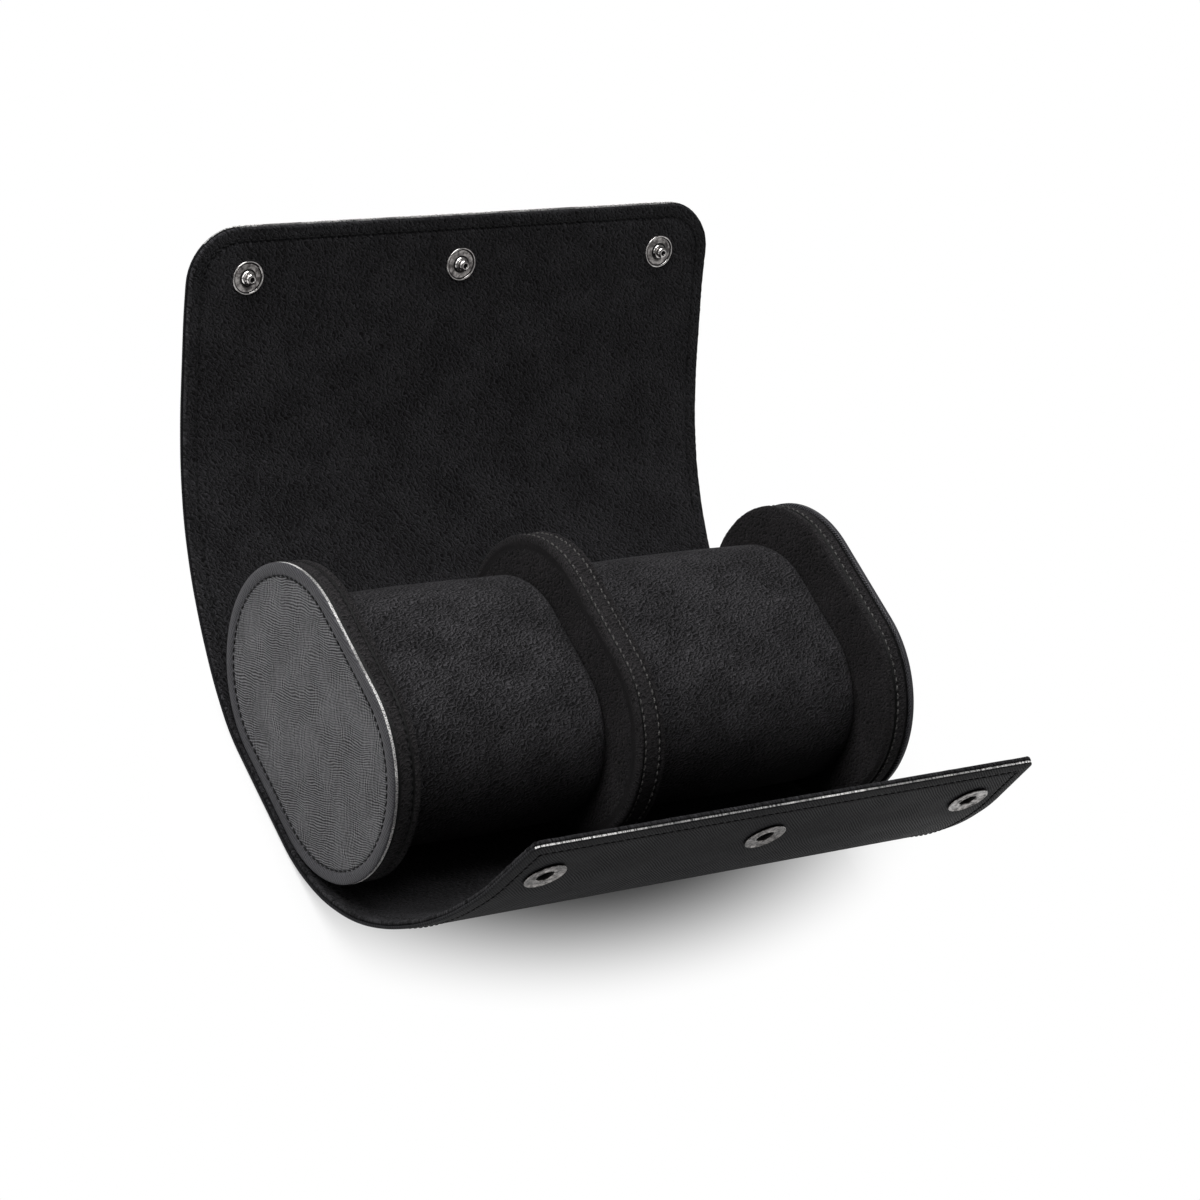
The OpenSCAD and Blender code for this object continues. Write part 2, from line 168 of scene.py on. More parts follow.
# %% Build the floor and the world
PAPER, WHITE, MIRRORED_SHARE = (0.8, 0.8, 0.8, 1), (1, 1, 1, 1), 0.3
SHADOW_CENTRE, SHADOW_STRETCH = (0.008, -0.013, 0.0), (0.56, 1.0, 0.0)
SHADOW_FULL, SHADOW_END = 0.038, 0.084
FLOOR_REACH, FLOOR_DROP = 4.0, 0.0002
AMBIENT = 0.16

paper, tree, output = blank_material("floor_paper")
ray = add_node(tree, "ShaderNodeLightPath")
mirrored = math_node(tree, "MULTIPLY", ray.outputs["Is Glossy Ray"], MIRRORED_SHARE)
seen = math_node(tree, "MAXIMUM", ray.outputs["Is Camera Ray"], mirrored)
spot = add_node(tree, "ShaderNodeTexCoord").outputs["Object"]
away = vector_node(tree, "MULTIPLY", vector_node(tree, "SUBTRACT", spot, SHADOW_CENTRE), SHADOW_STRETCH)
reach = add_node(tree, "ShaderNodeVectorMath", {0: away}, operation="LENGTH").outputs["Value"]
share = math_node(tree, "MULTIPLY", seen, to_range(tree, reach, SHADOW_FULL, SHADOW_END))
plain = add_node(tree, "ShaderNodeBsdfDiffuse", {"Color": PAPER})
white = add_node(tree, "ShaderNodeEmission", {"Color": WHITE, "Strength": 1.0})
mixed = add_node(tree, "ShaderNodeMixShader", {0: share, 1: plain.outputs[0], 2: white.outputs[0]})
tree.links.new(mixed.outputs[0], output.inputs[0])

sheet = bpy.data.meshes.new("floor")
corners = [(x * FLOOR_REACH, y * FLOOR_REACH, 0) for x, y in ((-1, -1), (1, -1), (1, 1), (-1, 1))]
sheet.from_pydata(corners, [], [(0, 1, 2, 3)])
floor = bpy.data.objects.new("floor", sheet)
floor.location.z = -FLOOR_DROP
floor.data.materials.append(paper)
bpy.context.scene.collection.objects.link(floor)
floor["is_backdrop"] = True

world = bpy.data.worlds.new("studio")
world.use_nodes = True
world.node_tree.nodes.clear()
camera_ray = add_node(world.node_tree, "ShaderNodeLightPath").outputs["Is Camera Ray"]
glow = math_node(world.node_tree, "MAXIMUM", camera_ray, AMBIENT)
sky = add_node(world.node_tree, "ShaderNodeBackground", {"Color": WHITE, "Strength": glow})
add_node(world.node_tree, "ShaderNodeOutputWorld", {0: sky.outputs[0]})
bpy.context.scene.world = world
print("the paper is", 2 * FLOOR_REACH, "m wide")


# %% Hang the lamps
def add_lamp(name, toward, distance, size, power):
    """A square soft lamp that stands off in a direction and faces the roll."""
    lamp = bpy.data.objects.new(name, bpy.data.lights.new(name, "AREA"))
    lamp.data.size, lamp.data.energy = size, power
    toward = Vector(toward).normalized()
    lamp.location = DISC_CENTRE + toward * distance
    lamp.rotation_mode = "QUATERNION"
    lamp.rotation_quaternion = toward.to_track_quat("Z", "Y")
    bpy.context.scene.collection.objects.link(lamp)
    print(name, "gives", power, "W")


add_lamp("overhead_lamp", (-0.25, 0.42, 0.88), 1.4, 1.2, 31.0)
add_lamp("left_lamp", (-0.9, 0.3, 0.55), 0.5, 0.35, 0.62)
add_lamp("front_lamp", (0.52, -0.8, 0.28), 1.5, 1.1, 2.0)

# %% [markdown]
# ## Patterns that several materials share
# Each group reads a place on the sheet in millimetres and puts out a height and a shade. Pieces
# carry that place in a UV map, so a pattern stays fixed to the sheet while it bends.

# %% Helpers for shader groups
def start_group(name, inputs, outputs):
    """An empty shader group with named sockets."""
    group = bpy.data.node_groups.new(name, "ShaderNodeTree")
    for socket, kind, value in inputs:
        made = group.interface.new_socket(socket, in_out="INPUT", socket_type=kind)
        if value is not None:
            made.default_value = value
    for socket in outputs:
        group.interface.new_socket(socket, in_out="OUTPUT", socket_type="NodeSocketFloat")
    return group, group.nodes.new("NodeGroupInput"), group.nodes.new("NodeGroupOutput")


def end_group(group, outside, **results):
    """Links the results to the group's outputs."""
    for socket, result in results.items():
        group.links.new(result, outside.inputs[socket])
    print("group:", group.name)


def noise_node(tree, vector, scale, detail, roughness=0.5):
    """A Noise Texture at a vector."""
    values = {"Vector": vector, "Scale": scale, "Detail": detail, "Roughness": roughness}
    return add_node(tree, "ShaderNodeTexNoise", values)


def noise_value(*settings):
    """The value of a Noise Texture."""
    return noise_node(*settings).outputs[0]


def scaled(tree, vector, factor):
    """A vector times a number."""
    values = {0: vector, "Scale": factor}
    return add_node(tree, "ShaderNodeVectorMath", values, operation="SCALE").outputs[0]


def turned_place(group, inside):
    """The group's Place, turned by its Turn."""
    values = {"Vector": inside.outputs["Place"], "Angle": inside.outputs["Turn"]}
    return add_node(group, "ShaderNodeVectorRotate", values, rotation_type="Z_AXIS").outputs[0]


# %% [markdown]
# ### Suede nap
# Microsuede is a field of short fibres that lie over in worm-like tufts about a millimetre long,
# with patches where a hand has brushed them another way. A stretched noise makes the tufts, its
# difference from a shifted copy is painted light and shade, lighter on the side that the fibres tip
# towards as if lit from there, and a slow noise makes the patches. Hair particles would be closer,
# but black fibres a third of a millimetre long are only seen as this mottle.

# %% Build the nap group
WOBBLE_SCALE, WOBBLE_REACH = 0.45, (2.2, 2.2, 0.0)
TUFT_STRETCH, TUFT_DETAIL, TUFT_WIDTH = (0.8, 1.4, 1.0), 2.5, 0.13
PAINTED_LIGHT_SHIFT, PAINTED_LIGHT_RANGE = (0.16, 0.32, 0.0), (-0.1, 0.13)
FUZZ_SCALE, PATCH_SCALE, NOISE_MIDDLE = 2.6, 0.06, (0.35, 0.65)
PAINTED_LIGHT_SHARE, TUFT_SHADE, FUZZ_SHADE, PATCH_SHADE = 0.5, 0.3, 0.1, 0.14
FUZZ_HEIGHT, TUFT_HEIGHT = 0.3, 0.4

group, inside, outside = start_group(
    "suede_nap",
    [("Place", "NodeSocketVector", None), ("Turn", "NodeSocketFloat", 0.6)],
    ["Shade", "Height"],
)
turned = turned_place(group, inside)
wobble = noise_node(group, turned, WOBBLE_SCALE, 1.0).outputs["Color"]
stretched = vector_node(
    group, "MULTIPLY", vector_node(group, "MULTIPLY_ADD", wobble, WOBBLE_REACH, turned), TUFT_STRETCH
)
shifted = vector_node(group, "ADD", stretched, PAINTED_LIGHT_SHIFT)
here, there = (noise_value(group, vector, 1.0, TUFT_DETAIL) for vector in (stretched, shifted))
# Painted light and shade: each tuft lighter on the side that its fibres tip towards.
painted_lean_light = to_range(group, math_node(group, "SUBTRACT", here, there), *PAINTED_LIGHT_RANGE)
off_middle = math_node(group, "ABSOLUTE", math_node(group, "SUBTRACT", here, 0.5))
tufts = to_range(group, off_middle, 0.0, TUFT_WIDTH, 1.0, 0.0)
fuzz = noise_value(group, inside.outputs["Place"], FUZZ_SCALE, 2.0, 0.6)
fuzz = to_range(group, fuzz, *NOISE_MIDDLE)
patches = noise_value(group, inside.outputs["Place"], PATCH_SCALE, 3.0)
patches = to_range(group, patches, *NOISE_MIDDLE)
shade, height = math_node(group, "MULTIPLY", patches, PATCH_SHADE), here
for part, amount in ((painted_lean_light, PAINTED_LIGHT_SHARE), (tufts, TUFT_SHADE), (fuzz, FUZZ_SHADE)):
    shade = math_node(group, "MULTIPLY_ADD", part, amount, shade)
for part, amount in ((fuzz, FUZZ_HEIGHT), (tufts, TUFT_HEIGHT)):
    height = math_node(group, "MULTIPLY_ADD", part, amount, height)
end_group(group, outside, Shade=shade, Height=height)
nap_group = group

# %% [markdown]
# ### Pressed hatch
# The leather is pressed with two sets of fine lines that cross. In some patches one set stands out
# and in others the other. Two sine waves on a slightly warped place give the lines, and a slow
# noise says which set leads. An image of real leather would be quicker but would not scale.

# %% Build the hatch group
WARP_SCALE, LEAD_SCALE, GRAIN_SCALE, SMUDGE_SCALE = 0.09, 0.06, 1.1, 0.07
LEAD_RANGE, SMUDGE_RANGE = (0.4, 0.6, 0.36, 0.66), (0.3, 0.7, -0.06, 0.06)
GRAIN_SHARE, HATCH_RANGE = 0.6, (0.45, 1.15)

group, inside, outside = start_group(
    "pressed_hatch",
    [
        ("Place", "NodeSocketVector", None),
        ("Turn", "NodeSocketFloat", 0.0),
        ("Pitch", "NodeSocketFloat", 0.78),
        ("Warp", "NodeSocketFloat", 4.0),
    ],
    ["Shade", "Height"],
)
turned = turned_place(group, inside)
warp = noise_node(group, turned, WARP_SCALE, 2.0).outputs["Color"]
warped = vector_node(group, "ADD", scaled(group, warp, inside.outputs["Warp"]), turned)
axes = add_node(group, "ShaderNodeSeparateXYZ", {0: warped})
rate = math_node(group, "DIVIDE", math.tau, inside.outputs["Pitch"])
lines = []
for axis in (0, 1):
    wave = math_node(group, "SINE", math_node(group, "MULTIPLY", axes.outputs[axis], rate))
    lines.append(math_node(group, "MULTIPLY_ADD", wave, 0.5, 0.5))
lead = to_range(group, noise_value(group, turned, LEAD_SCALE, 2.0), *LEAD_RANGE)
grain = noise_value(group, warped, GRAIN_SCALE, 3.0, 0.6)
smudge = to_range(group, noise_value(group, turned, SMUDGE_SCALE, 3.0), *SMUDGE_RANGE)
first = math_node(group, "MULTIPLY", lines[0], lead)
second = math_node(group, "MULTIPLY", lines[1], math_node(group, "SUBTRACT", 1.0, lead))
height = math_node(group, "ADD", first, second)
height = math_node(group, "MULTIPLY_ADD", grain, GRAIN_SHARE, height)
shade = to_range(group, math_node(group, "ADD", height, smudge), *HATCH_RANGE)
end_group(group, outside, Shade=shade, Height=height)
hatch_group = group

# %% [markdown]
# ## Finishes
# Each finish is a small function, so that three suedes or two nickels share a recipe and differ in
# their values. A pattern drives the colour, the bump and, where it shows, the roughness. Numbers
# that are the same all over a surface sit on the shader's own sockets.

# %% Helpers for finishes
MM_PER_METRE = 1000.0


def place_in_mm(tree):
    """The place on the sheet, read from the piece's UV map, in millimetres."""
    return scaled(tree, add_node(tree, "ShaderNodeUVMap", uv_map="place").outputs[0], MM_PER_METRE)


def place_in_object(tree):
    """The place in the object's own space, in metres."""
    return add_node(tree, "ShaderNodeTexCoord").outputs["Object"]


def blend_colours(tree, factor, dark, light):
    """A colour between two, by a factor."""
    values = {"Factor": factor, 6: (*dark, 1), 7: (*light, 1)}
    return add_node(tree, "ShaderNodeMix", values, data_type="RGBA").outputs[2]


def finish_material(tree, output, colour, height, bump, depth, **sockets):
    """Adds the Principled shader with its colour, its bump and its other sockets."""
    bumped = add_node(tree, "ShaderNodeBump", {"Strength": bump, "Distance": depth, "Height": height})
    values = {"Base Color": colour, "Normal": bumped.outputs[0]}
    values.update({socket.replace("_", " "): value for socket, value in sockets.items()})
    shader = add_node(tree, "ShaderNodeBsdfPrincipled", values)
    tree.links.new(shader.outputs[0], output.inputs[0])


# %% [markdown]
# ### Suede
# The lining, the covers and the pillows are black microsuede. The nap's shade, which carries the
# painted light and shade of the tipped fibres, is raised to a power, so that most of the cloth stays
# black and only the tips of the tufts and their painted lit sides turn grey, and a little sheen stands
# for the fuzz seen at a low angle. A plain cloth shader would look flat, because this cloth is known
# by its mottle.

# %% Make the suedes
NAP_DEPTH = 0.0005


def suede(name, turn, dark, light, sheen, crush):
    """Black microsuede with its nap lying at a turn."""
    material, tree, output = blank_material(name)
    values = {"Place": place_in_mm(tree), "Turn": turn}
    nap = add_node(tree, "ShaderNodeGroup", values, node_tree=nap_group)
    tips = math_node(tree, "POWER", nap.outputs["Shade"], crush)
    finish_material(
        tree, output, blend_colours(tree, tips, dark, light), nap.outputs["Height"], 1.0, NAP_DEPTH,
        Roughness=0.9, Specular_IOR_Level=0.12, Sheen_Weight=sheen, Sheen_Roughness=0.5,
        Sheen_Tint=(0.55, 0.54, 0.58, 1),
    )
    print("made", name)
    return material


wrap_suede = suede("wrap_suede", 0.75, (0.0003, 0.0003, 0.0004), (0.041, 0.0401, 0.0436), 0.015, 1.75)
pillow_suede = suede("pillow_suede", 0.35, (0.0003, 0.0003, 0.0004), (0.07, 0.0675, 0.0725), 0.015, 2.0)
disc_suede = suede("disc_suede", 1.1, (0.0004, 0.0004, 0.0004), (0.038, 0.0352, 0.037), 0.025, 1.4)

# %% [markdown]
# ### Leather
# The outside of the wrap and of the discs is one dyed leather pressed with the hatch. The tops of
# its lines are rubbed smoother and lighter, and a coat that follows the same shade gives the polish.
# On the wrap the pressing is faint, on the discs it is deep, and on their rolled borders it is almost
# stretched out, so each of the three has its own values. The copies on the discs are much lighter
# than the wrap's: that is painted sheen, and on the disc faces the light tops of the lines are painted
# glints as well as rubbed leather.

# %% Make the leathers
PRESS_DEPTH = 0.0002


def leather(name, turn, dark, light, rough_range, gloss, polish, press, warp):
    """Dark pressed leather, polished along the tops of its lines."""
    material, tree, output = blank_material(name)
    values = {"Place": place_in_mm(tree), "Turn": turn, "Warp": warp}
    hatch = add_node(tree, "ShaderNodeGroup", values, node_tree=hatch_group)
    shade = hatch.outputs["Shade"]
    finish_material(
        tree, output, blend_colours(tree, shade, dark, light), hatch.outputs["Height"], press, PRESS_DEPTH,
        Roughness=to_range(tree, shade, 0.0, 1.0, *rough_range), Specular_IOR_Level=gloss,
        Coat_Weight=math_node(tree, "MULTIPLY", shade, polish), Coat_Roughness=0.32,
    )
    print("made", name)
    return material


wrap_leather = leather(
    "wrap_leather", 0.75, dark=(0.0045, 0.0045, 0.0052), light=(0.0105, 0.0105, 0.012),
    rough_range=(0.8, 0.6), gloss=0.1, polish=0.06, press=0.2, warp=1.2,
)
# Lighter than the wrap's copy of the same leather: painted sheen, and its light line tops are painted glints
# as well as rubbing.
disc_leather_painted_sheen = leather(
    "disc_leather_painted_sheen", LEAN, dark=(0.001, 0.001, 0.0014), light=(0.072, 0.071, 0.078),
    rough_range=(0.7, 0.42), gloss=0.15, polish=0.7, press=0.8, warp=4.0,
)
# Lighter than the wrap's copy of the same leather: painted sheen.
border_leather_painted_sheen = leather(
    "border_leather_painted_sheen", 0.2, dark=(0.024, 0.0237, 0.026), light=(0.05, 0.049, 0.054),
    rough_range=(0.62, 0.48), gloss=0.12, polish=0.12, press=0.1, warp=2.0,
)

# %% [markdown]
# ### The raw edge
# Where the leather is cut, its undyed backing shows as a pale fibrous line, dark again where wear
# and dye have covered it. A fine noise makes the fibres and a slow one the worn stretches. A white
# stripe of one colour would look like paint.

# %% Make the raw edge
WORN_SCALE, WORN_RANGE = 0.05, (0.36, 0.56, 0.35, 1.0)
FIBRE_SCALE, FIBRE_RANGE, FIBRE_DEPTH = 2.2, (0.36, 0.58), 0.0002


def raw_edge():
    """The cut edge of the leather: pale backing fibres, worn away in places."""
    material, tree, output = blank_material("raw_leather_edge")
    place = place_in_mm(tree)
    worn = to_range(tree, noise_value(tree, place, WORN_SCALE, 2.0), *WORN_RANGE)
    fibres = to_range(tree, noise_value(tree, place, FIBRE_SCALE, 2.0, 0.7), *FIBRE_RANGE)
    mask = math_node(tree, "MULTIPLY", fibres, worn)
    colour = blend_colours(tree, mask, (0.012, 0.012, 0.013), (0.72, 0.71, 0.7))
    finish_material(tree, output, colour, mask, 0.5, FIBRE_DEPTH, Roughness=0.8)
    print("made", material.name)
    return material


cut_edge = raw_edge()

# %% [markdown]
# ### Thread
# The seams are sewn with waxed thread, black on the wrap, on the faces of the discs and on the rim of
# the left disc, and dark grey on the divider and the rim of the right disc, where its pale light
# colour is painted glint. Its twist is finer than a pixel, so a noise in place of a true helix is
# enough. The near-black painted shade inside a slit or a hole has the same recipe.

# %% Make the threads
TWIST_SCALE, TWIST_DEPTH = 2500.0, 0.0001


def thread(name, dark, light):
    """Waxed thread with a twist that shows as slanting light and dark."""
    material, tree, output = blank_material(name)
    mask = to_range(tree, noise_value(tree, place_in_object(tree), TWIST_SCALE, 2.0), *NOISE_MIDDLE)
    colour = blend_colours(tree, mask, dark, light)
    finish_material(
        tree, output, colour, mask, 0.4, TWIST_DEPTH, Roughness=0.65, Specular_IOR_Level=0.2
    )
    print("made", name)
    return material


dark_thread = thread("dark_thread", (0.0008, 0.0008, 0.001), (0.005, 0.005, 0.0055))
grey_thread_painted_glint = thread("grey_thread_painted_glint", (0.008, 0.008, 0.008), (0.1, 0.097, 0.094))
# Near-black painted shade, put in the slits of the covers, on the deep rows of the studs and in the holes of
# the sockets.
painted_shade_black = thread("painted_shade_black", (0.0006, 0.0006, 0.0006), (0.003, 0.003, 0.0032))

# %% [markdown]
# ### Nickel
# The snaps are nickel plate, bright on the studs and aged on the sockets. The aged plate is also
# darker as painted shade, so that the sockets don't mirror the bright paper in front of them. A
# smudge noise makes some spots darker and rougher, and a very fine one is the grain of the polishing.
# Clean chrome would look new and drawn, not handled.

# %% Make the nickels
SPOT_RANGE = (0.35, 0.7)
POLISH_SCALE, POLISH_DEPTH = 3200.0, 0.00002


def nickel(name, dark, light, smooth, rough, marks):
    """Plated metal with smudges and a fine brushed grain."""
    material, tree, output = blank_material(name)
    place = place_in_object(tree)
    smudge = to_range(tree, noise_value(tree, place, marks, 4.0, 0.6), *SPOT_RANGE)
    finish_material(
        tree, output, blend_colours(tree, smudge, dark, light),
        noise_value(tree, place, POLISH_SCALE, 2.0), 0.25, POLISH_DEPTH,
        Roughness=to_range(tree, smudge, 0.0, 1.0, rough, smooth), Metallic=1.0,
    )
    print("made", name)
    return material


bright_nickel = nickel("bright_nickel", (0.4, 0.38, 0.372), (0.82, 0.795, 0.78), 0.05, 0.14, 420.0)
# The aged plate is darker also as painted shade, against the bright paper that the sockets mirror.
aged_nickel_painted_shade = nickel("aged_nickel_painted_shade", (0.07, 0.066, 0.064), (0.4, 0.38, 0.37), 0.12, 0.26, 600.0)

# %% [markdown]
# ### Board
# Grey board stiffens the discs and the divider. It is hidden under the covers, so one noise for its
# pulp does the job.

# %% Make the board
PULP_SCALE, PULP_DEPTH = 700.0, 0.0002


def board():
    """Grey board with pale fibres."""
    material, tree, output = blank_material("grey_board")
    fibre = noise_value(tree, place_in_object(tree), PULP_SCALE, 4.0)
    colour = blend_colours(tree, fibre, (0.12, 0.1, 0.08), (0.3, 0.26, 0.2))
    finish_material(tree, output, colour, fibre, 0.3, PULP_DEPTH, Roughness=0.9)
    return material


core_board = board()
print(len(bpy.data.materials), "materials")

# %% [markdown]
# ## The run of the wrap
# Seen from the side, the wrap is a line that leaves the flat base and turns at every fold. The
# hinges of the frame say where the folds lie. A real sheet doesn't crease there, so each corner is
# rounded by an arc that ends before the next one starts, and a table of points gives the place and
# the heading at any distance from the middle of the base.

# %% Work out the two sides of the wrap
WALL = 2.8
ARC_REACH, SNAP_ARC_REACH, ARC_STEPS = 7.4, 5.5, 40
LID_TURNS = [15, 7.5, 5, 7, 8, 6.5, 4.5, 4]
FLAP_TURNS = [17, 16, 13, 10.5, 8.5, 8.5, 8]
HINGED_FOLDS, PAST_END = 7, 2.0
LID_TOP_STRIP, LID_END_STRIP, FLAP_END_STRIP = 31.882, 28.0, 29.5
STUD_FROM_FOLD, SOCKET_FROM_FOLD = 11.5, 9.5


def lay_out(name, sign, turns, last_strips, reaches):
    """One side of the wrap: its folds, headings, and a table of distance, place and heading."""
    fold_names = [f"{name}_wrap"] + [f"{name}_fold_{k}" for k in range(2, HINGED_FOLDS + 1)]
    folds = [np.array([abs(hinges[n]["pos_m"][1]), hinges[n]["pos_m"][2]]) / MM for n in fold_names]
    headings = [0.0] + list(np.cumsum(np.radians(turns)))
    lengths = [np.linalg.norm(b - a) for a, b in zip(folds, folds[1:])] + last_strips
    for k in range(HINGED_FOLDS, len(turns)):
        h = headings[k]
        folds.append(folds[-1] + lengths[k - 1] * np.array([math.cos(h), math.sin(h)]))
    rows, middles, after_arc = [(0.0, 0.0, WALL, 0.0)], [0.0], []

    def walk(distance, turn=0.0, steps=1):
        for _ in range(steps):
            s, y, z, h = rows[-1]
            step, bend = distance / steps, turn / steps
            chord = step if abs(bend) < TINY else 2 * step / bend * math.sin(bend / 2)
            middle = h + bend / 2
            rows.append((s + step, y + chord * math.cos(middle), z + chord * math.sin(middle), h + bend))

    walk(folds[0][0] - reaches[0])
    for k, turn in enumerate(np.radians(turns)):
        radius = reaches[k] / math.tan(turn / 2)
        walk(radius * turn, turn, ARC_STEPS)
        after_arc.append(rows[-1][0])
        last = k == len(turns) - 1
        straight = lengths[k] - reaches[k] - (0 if last else reaches[k + 1])
        if not last:
            middles.append(rows[-1][0] + straight / 2)
        walk(straight)
    end = rows[-1][0]
    walk(PAST_END)
    return {
        "name": name, "sign": sign, "folds": folds, "headings": headings, "table": np.array(rows),
        "borders": middles + [end], "after_arc": after_arc, "reaches": reaches, "end": end,
    }


lid = lay_out("lid", 1, LID_TURNS, [LID_TOP_STRIP, LID_END_STRIP], [ARC_REACH] * 7 + [SNAP_ARC_REACH])
flap = lay_out("flap", -1, FLAP_TURNS, [FLAP_END_STRIP], [ARC_REACH] * 6 + [SNAP_ARC_REACH])
print("the flat wrap is", round(lid["end"] + flap["end"], 1), "mm long")

# %% Put a point of the flat sheet where the wrap carries it
SNAP_ACROSS = (-80.0, 0.0, 80.0)


def on_wrap(side, across, along, inward):
    """Points in metres for places on the flat sheet, in mm, and a height over its inner face."""
    y, z, h = (np.interp(along, side["table"][:, 0], side["table"][:, i]) for i in (1, 2, 3))
    y, z = y - inward * np.sin(h), z + inward * np.cos(h)
    return np.stack([np.broadcast_to(across, y.shape), side["sign"] * y, z], -1) * MM


def at_snaps(side, along, inward):
    """The points of the three snaps at a distance along the sheet and a height over it."""
    return on_wrap(side, np.array(SNAP_ACROSS), np.full(len(SNAP_ACROSS), along), inward)


def socket_place(side):
    """How far along the sheet the sockets sit."""
    return side["after_arc"][-1] + SOCKET_FROM_FOLD - side["reaches"][-1]


print("sockets at", round(socket_place(flap), 1), "mm from the middle of the base")

# %% [markdown]
# ## Meshes from loops
# Every sewn piece here is a sheet whose detail follows its edge: a rounded rim, a stitched groove a
# few millimetres in, then a calm middle. So the meshes are built from loops at set distances from
# the edge, and the detail is a height that depends on that distance. Modelling a flat grid and
# cutting the corners off would leave ragged edges where the groove turns.

# %% Make an object from points and faces
WELD_DISTANCE = 1e-7


def circle(centre, first, second, radius, sides):
    """Points round a centre, from a first direction towards a second one."""
    angles = np.arange(sides) * math.tau / sides
    return [centre + radius * (first * math.cos(a) + second * math.sin(a)) for a in angles]


def tube_faces(rings, sides, base=0, capped=False):
    """Quads between closed rings of points that follow one another, and a cap at each end."""
    faces = []
    for row in range(rings - 1):
        for i in range(sides):
            a, b = base + row * sides + i, base + row * sides + (i + 1) % sides
            faces.append((a, b, b + sides, a + sides))
    if capped:
        last = base + (rings - 1) * sides
        faces.append(tuple(base + i for i in reversed(range(sides))))
        faces.append(tuple(last + i for i in range(sides)))
    return faces


def tube_kinds(row_kinds, rings, sides):
    """The material of each quad of a tube, from a table of the rows that aren't plain."""
    return [row_kinds.get(row, 0) for row in range(rings - 1) for _ in range(sides)]


def make_piece(name, points, faces, places, materials, face_materials=None, sharp=()):
    """A smooth mesh object with its place map. Points in metres, places in metres on the sheet."""
    mesh = bpy.data.meshes.new(name)
    mesh.from_pydata([tuple(p) for p in points], [], [tuple(f) for f in faces])
    for material in materials:
        mesh.materials.append(material)
    if face_materials is not None:
        mesh.polygons.foreach_set("material_index", face_materials)
    uv = mesh.uv_layers.new(name="place")
    corners = np.zeros(len(mesh.loops), int)
    mesh.loops.foreach_get("vertex_index", corners)
    uv.data.foreach_set("uv", np.asarray(places, float)[corners].ravel())
    build = bmesh.new()
    build.from_mesh(mesh)
    build.verts.ensure_lookup_table()
    for face in build.faces:
        face.smooth = True
    ring = set(sharp)
    for edge in build.edges:
        if edge.verts[0].index in ring and edge.verts[1].index in ring:
            edge.smooth = False
    bmesh.ops.remove_doubles(build, verts=build.verts, dist=WELD_DISTANCE)
    bmesh.ops.recalc_face_normals(build, faces=build.faces)
    build.to_mesh(mesh)
    build.free()
    piece = bpy.data.objects.new(name, mesh)
    bpy.context.scene.collection.objects.link(piece)
    return piece


# %% [markdown]
# ## The leather and the lining
# The wrap bends at fifteen folds, and a piece can bend across one joint only. So each layer is laid
# in fifteen stretches, each from the middle of one strip to the middle of the next, where the sheet
# is straight. Neighbours share their border, so no gap opens. The last stretch of each side also
# turns the corners of the outline: round on the lid, nearly square on the lip of the flap.

# %% Outline of the sheet
HALF_WIDTH, LIP_HALF_WIDTH = 101.0, 94.0
TAPER_FROM = flap["borders"][3]
LID_CORNER, LIP_CORNER, LEAST_CORNER, CORNER_POINTS = 18.0, 3.0, 0.3, 13
STITCH_INSET = 4.5
INSETS = np.array([0, 0.12, 0.35, 0.7, 1.1, 1.6, 2.8, 3.6, 4.0, 4.3, 4.5, 4.7, 5.0, 5.4, 6.2])
MIDDLE_COLUMNS = 64
ROW_STEP = 1.25


def half_width(side, along):
    """Half the width of the sheet at a distance from the base, the flap tapering to its lip."""
    if side["name"] == "lid":
        return np.full(np.shape(along), HALF_WIDTH)
    share = np.clip((along - TAPER_FROM) / (side["end"] - TAPER_FROM), 0, 1)
    return HALF_WIDTH - share * (HALF_WIDTH - LIP_HALF_WIDTH)


def outline_loop(side, start, stop, inset, corner=None):
    """Left run of the loop at one inset, as rows of (across, along), then its corner if it has one."""
    rows = max(2, math.ceil((stop - start) / ROW_STEP))
    radius = 0.0 if corner is None else max(corner - inset, LEAST_CORNER)
    turn_from = stop if corner is None else stop - inset - radius
    along = np.linspace(start, turn_from, rows + 1)
    run = np.stack([-(half_width(side, along) - inset), along], 1)
    if corner is None:
        return run
    angles = np.linspace(math.pi, math.pi / 2, CORNER_POINTS)[1:]
    centre = run[-1] + [radius, 0]
    return np.concatenate([run, centre + radius * np.stack([np.cos(angles), np.sin(angles)], 1)])


print("the sheet is", 2 * HALF_WIDTH, "mm wide and", 2 * LIP_HALF_WIDTH, "mm at its lip")


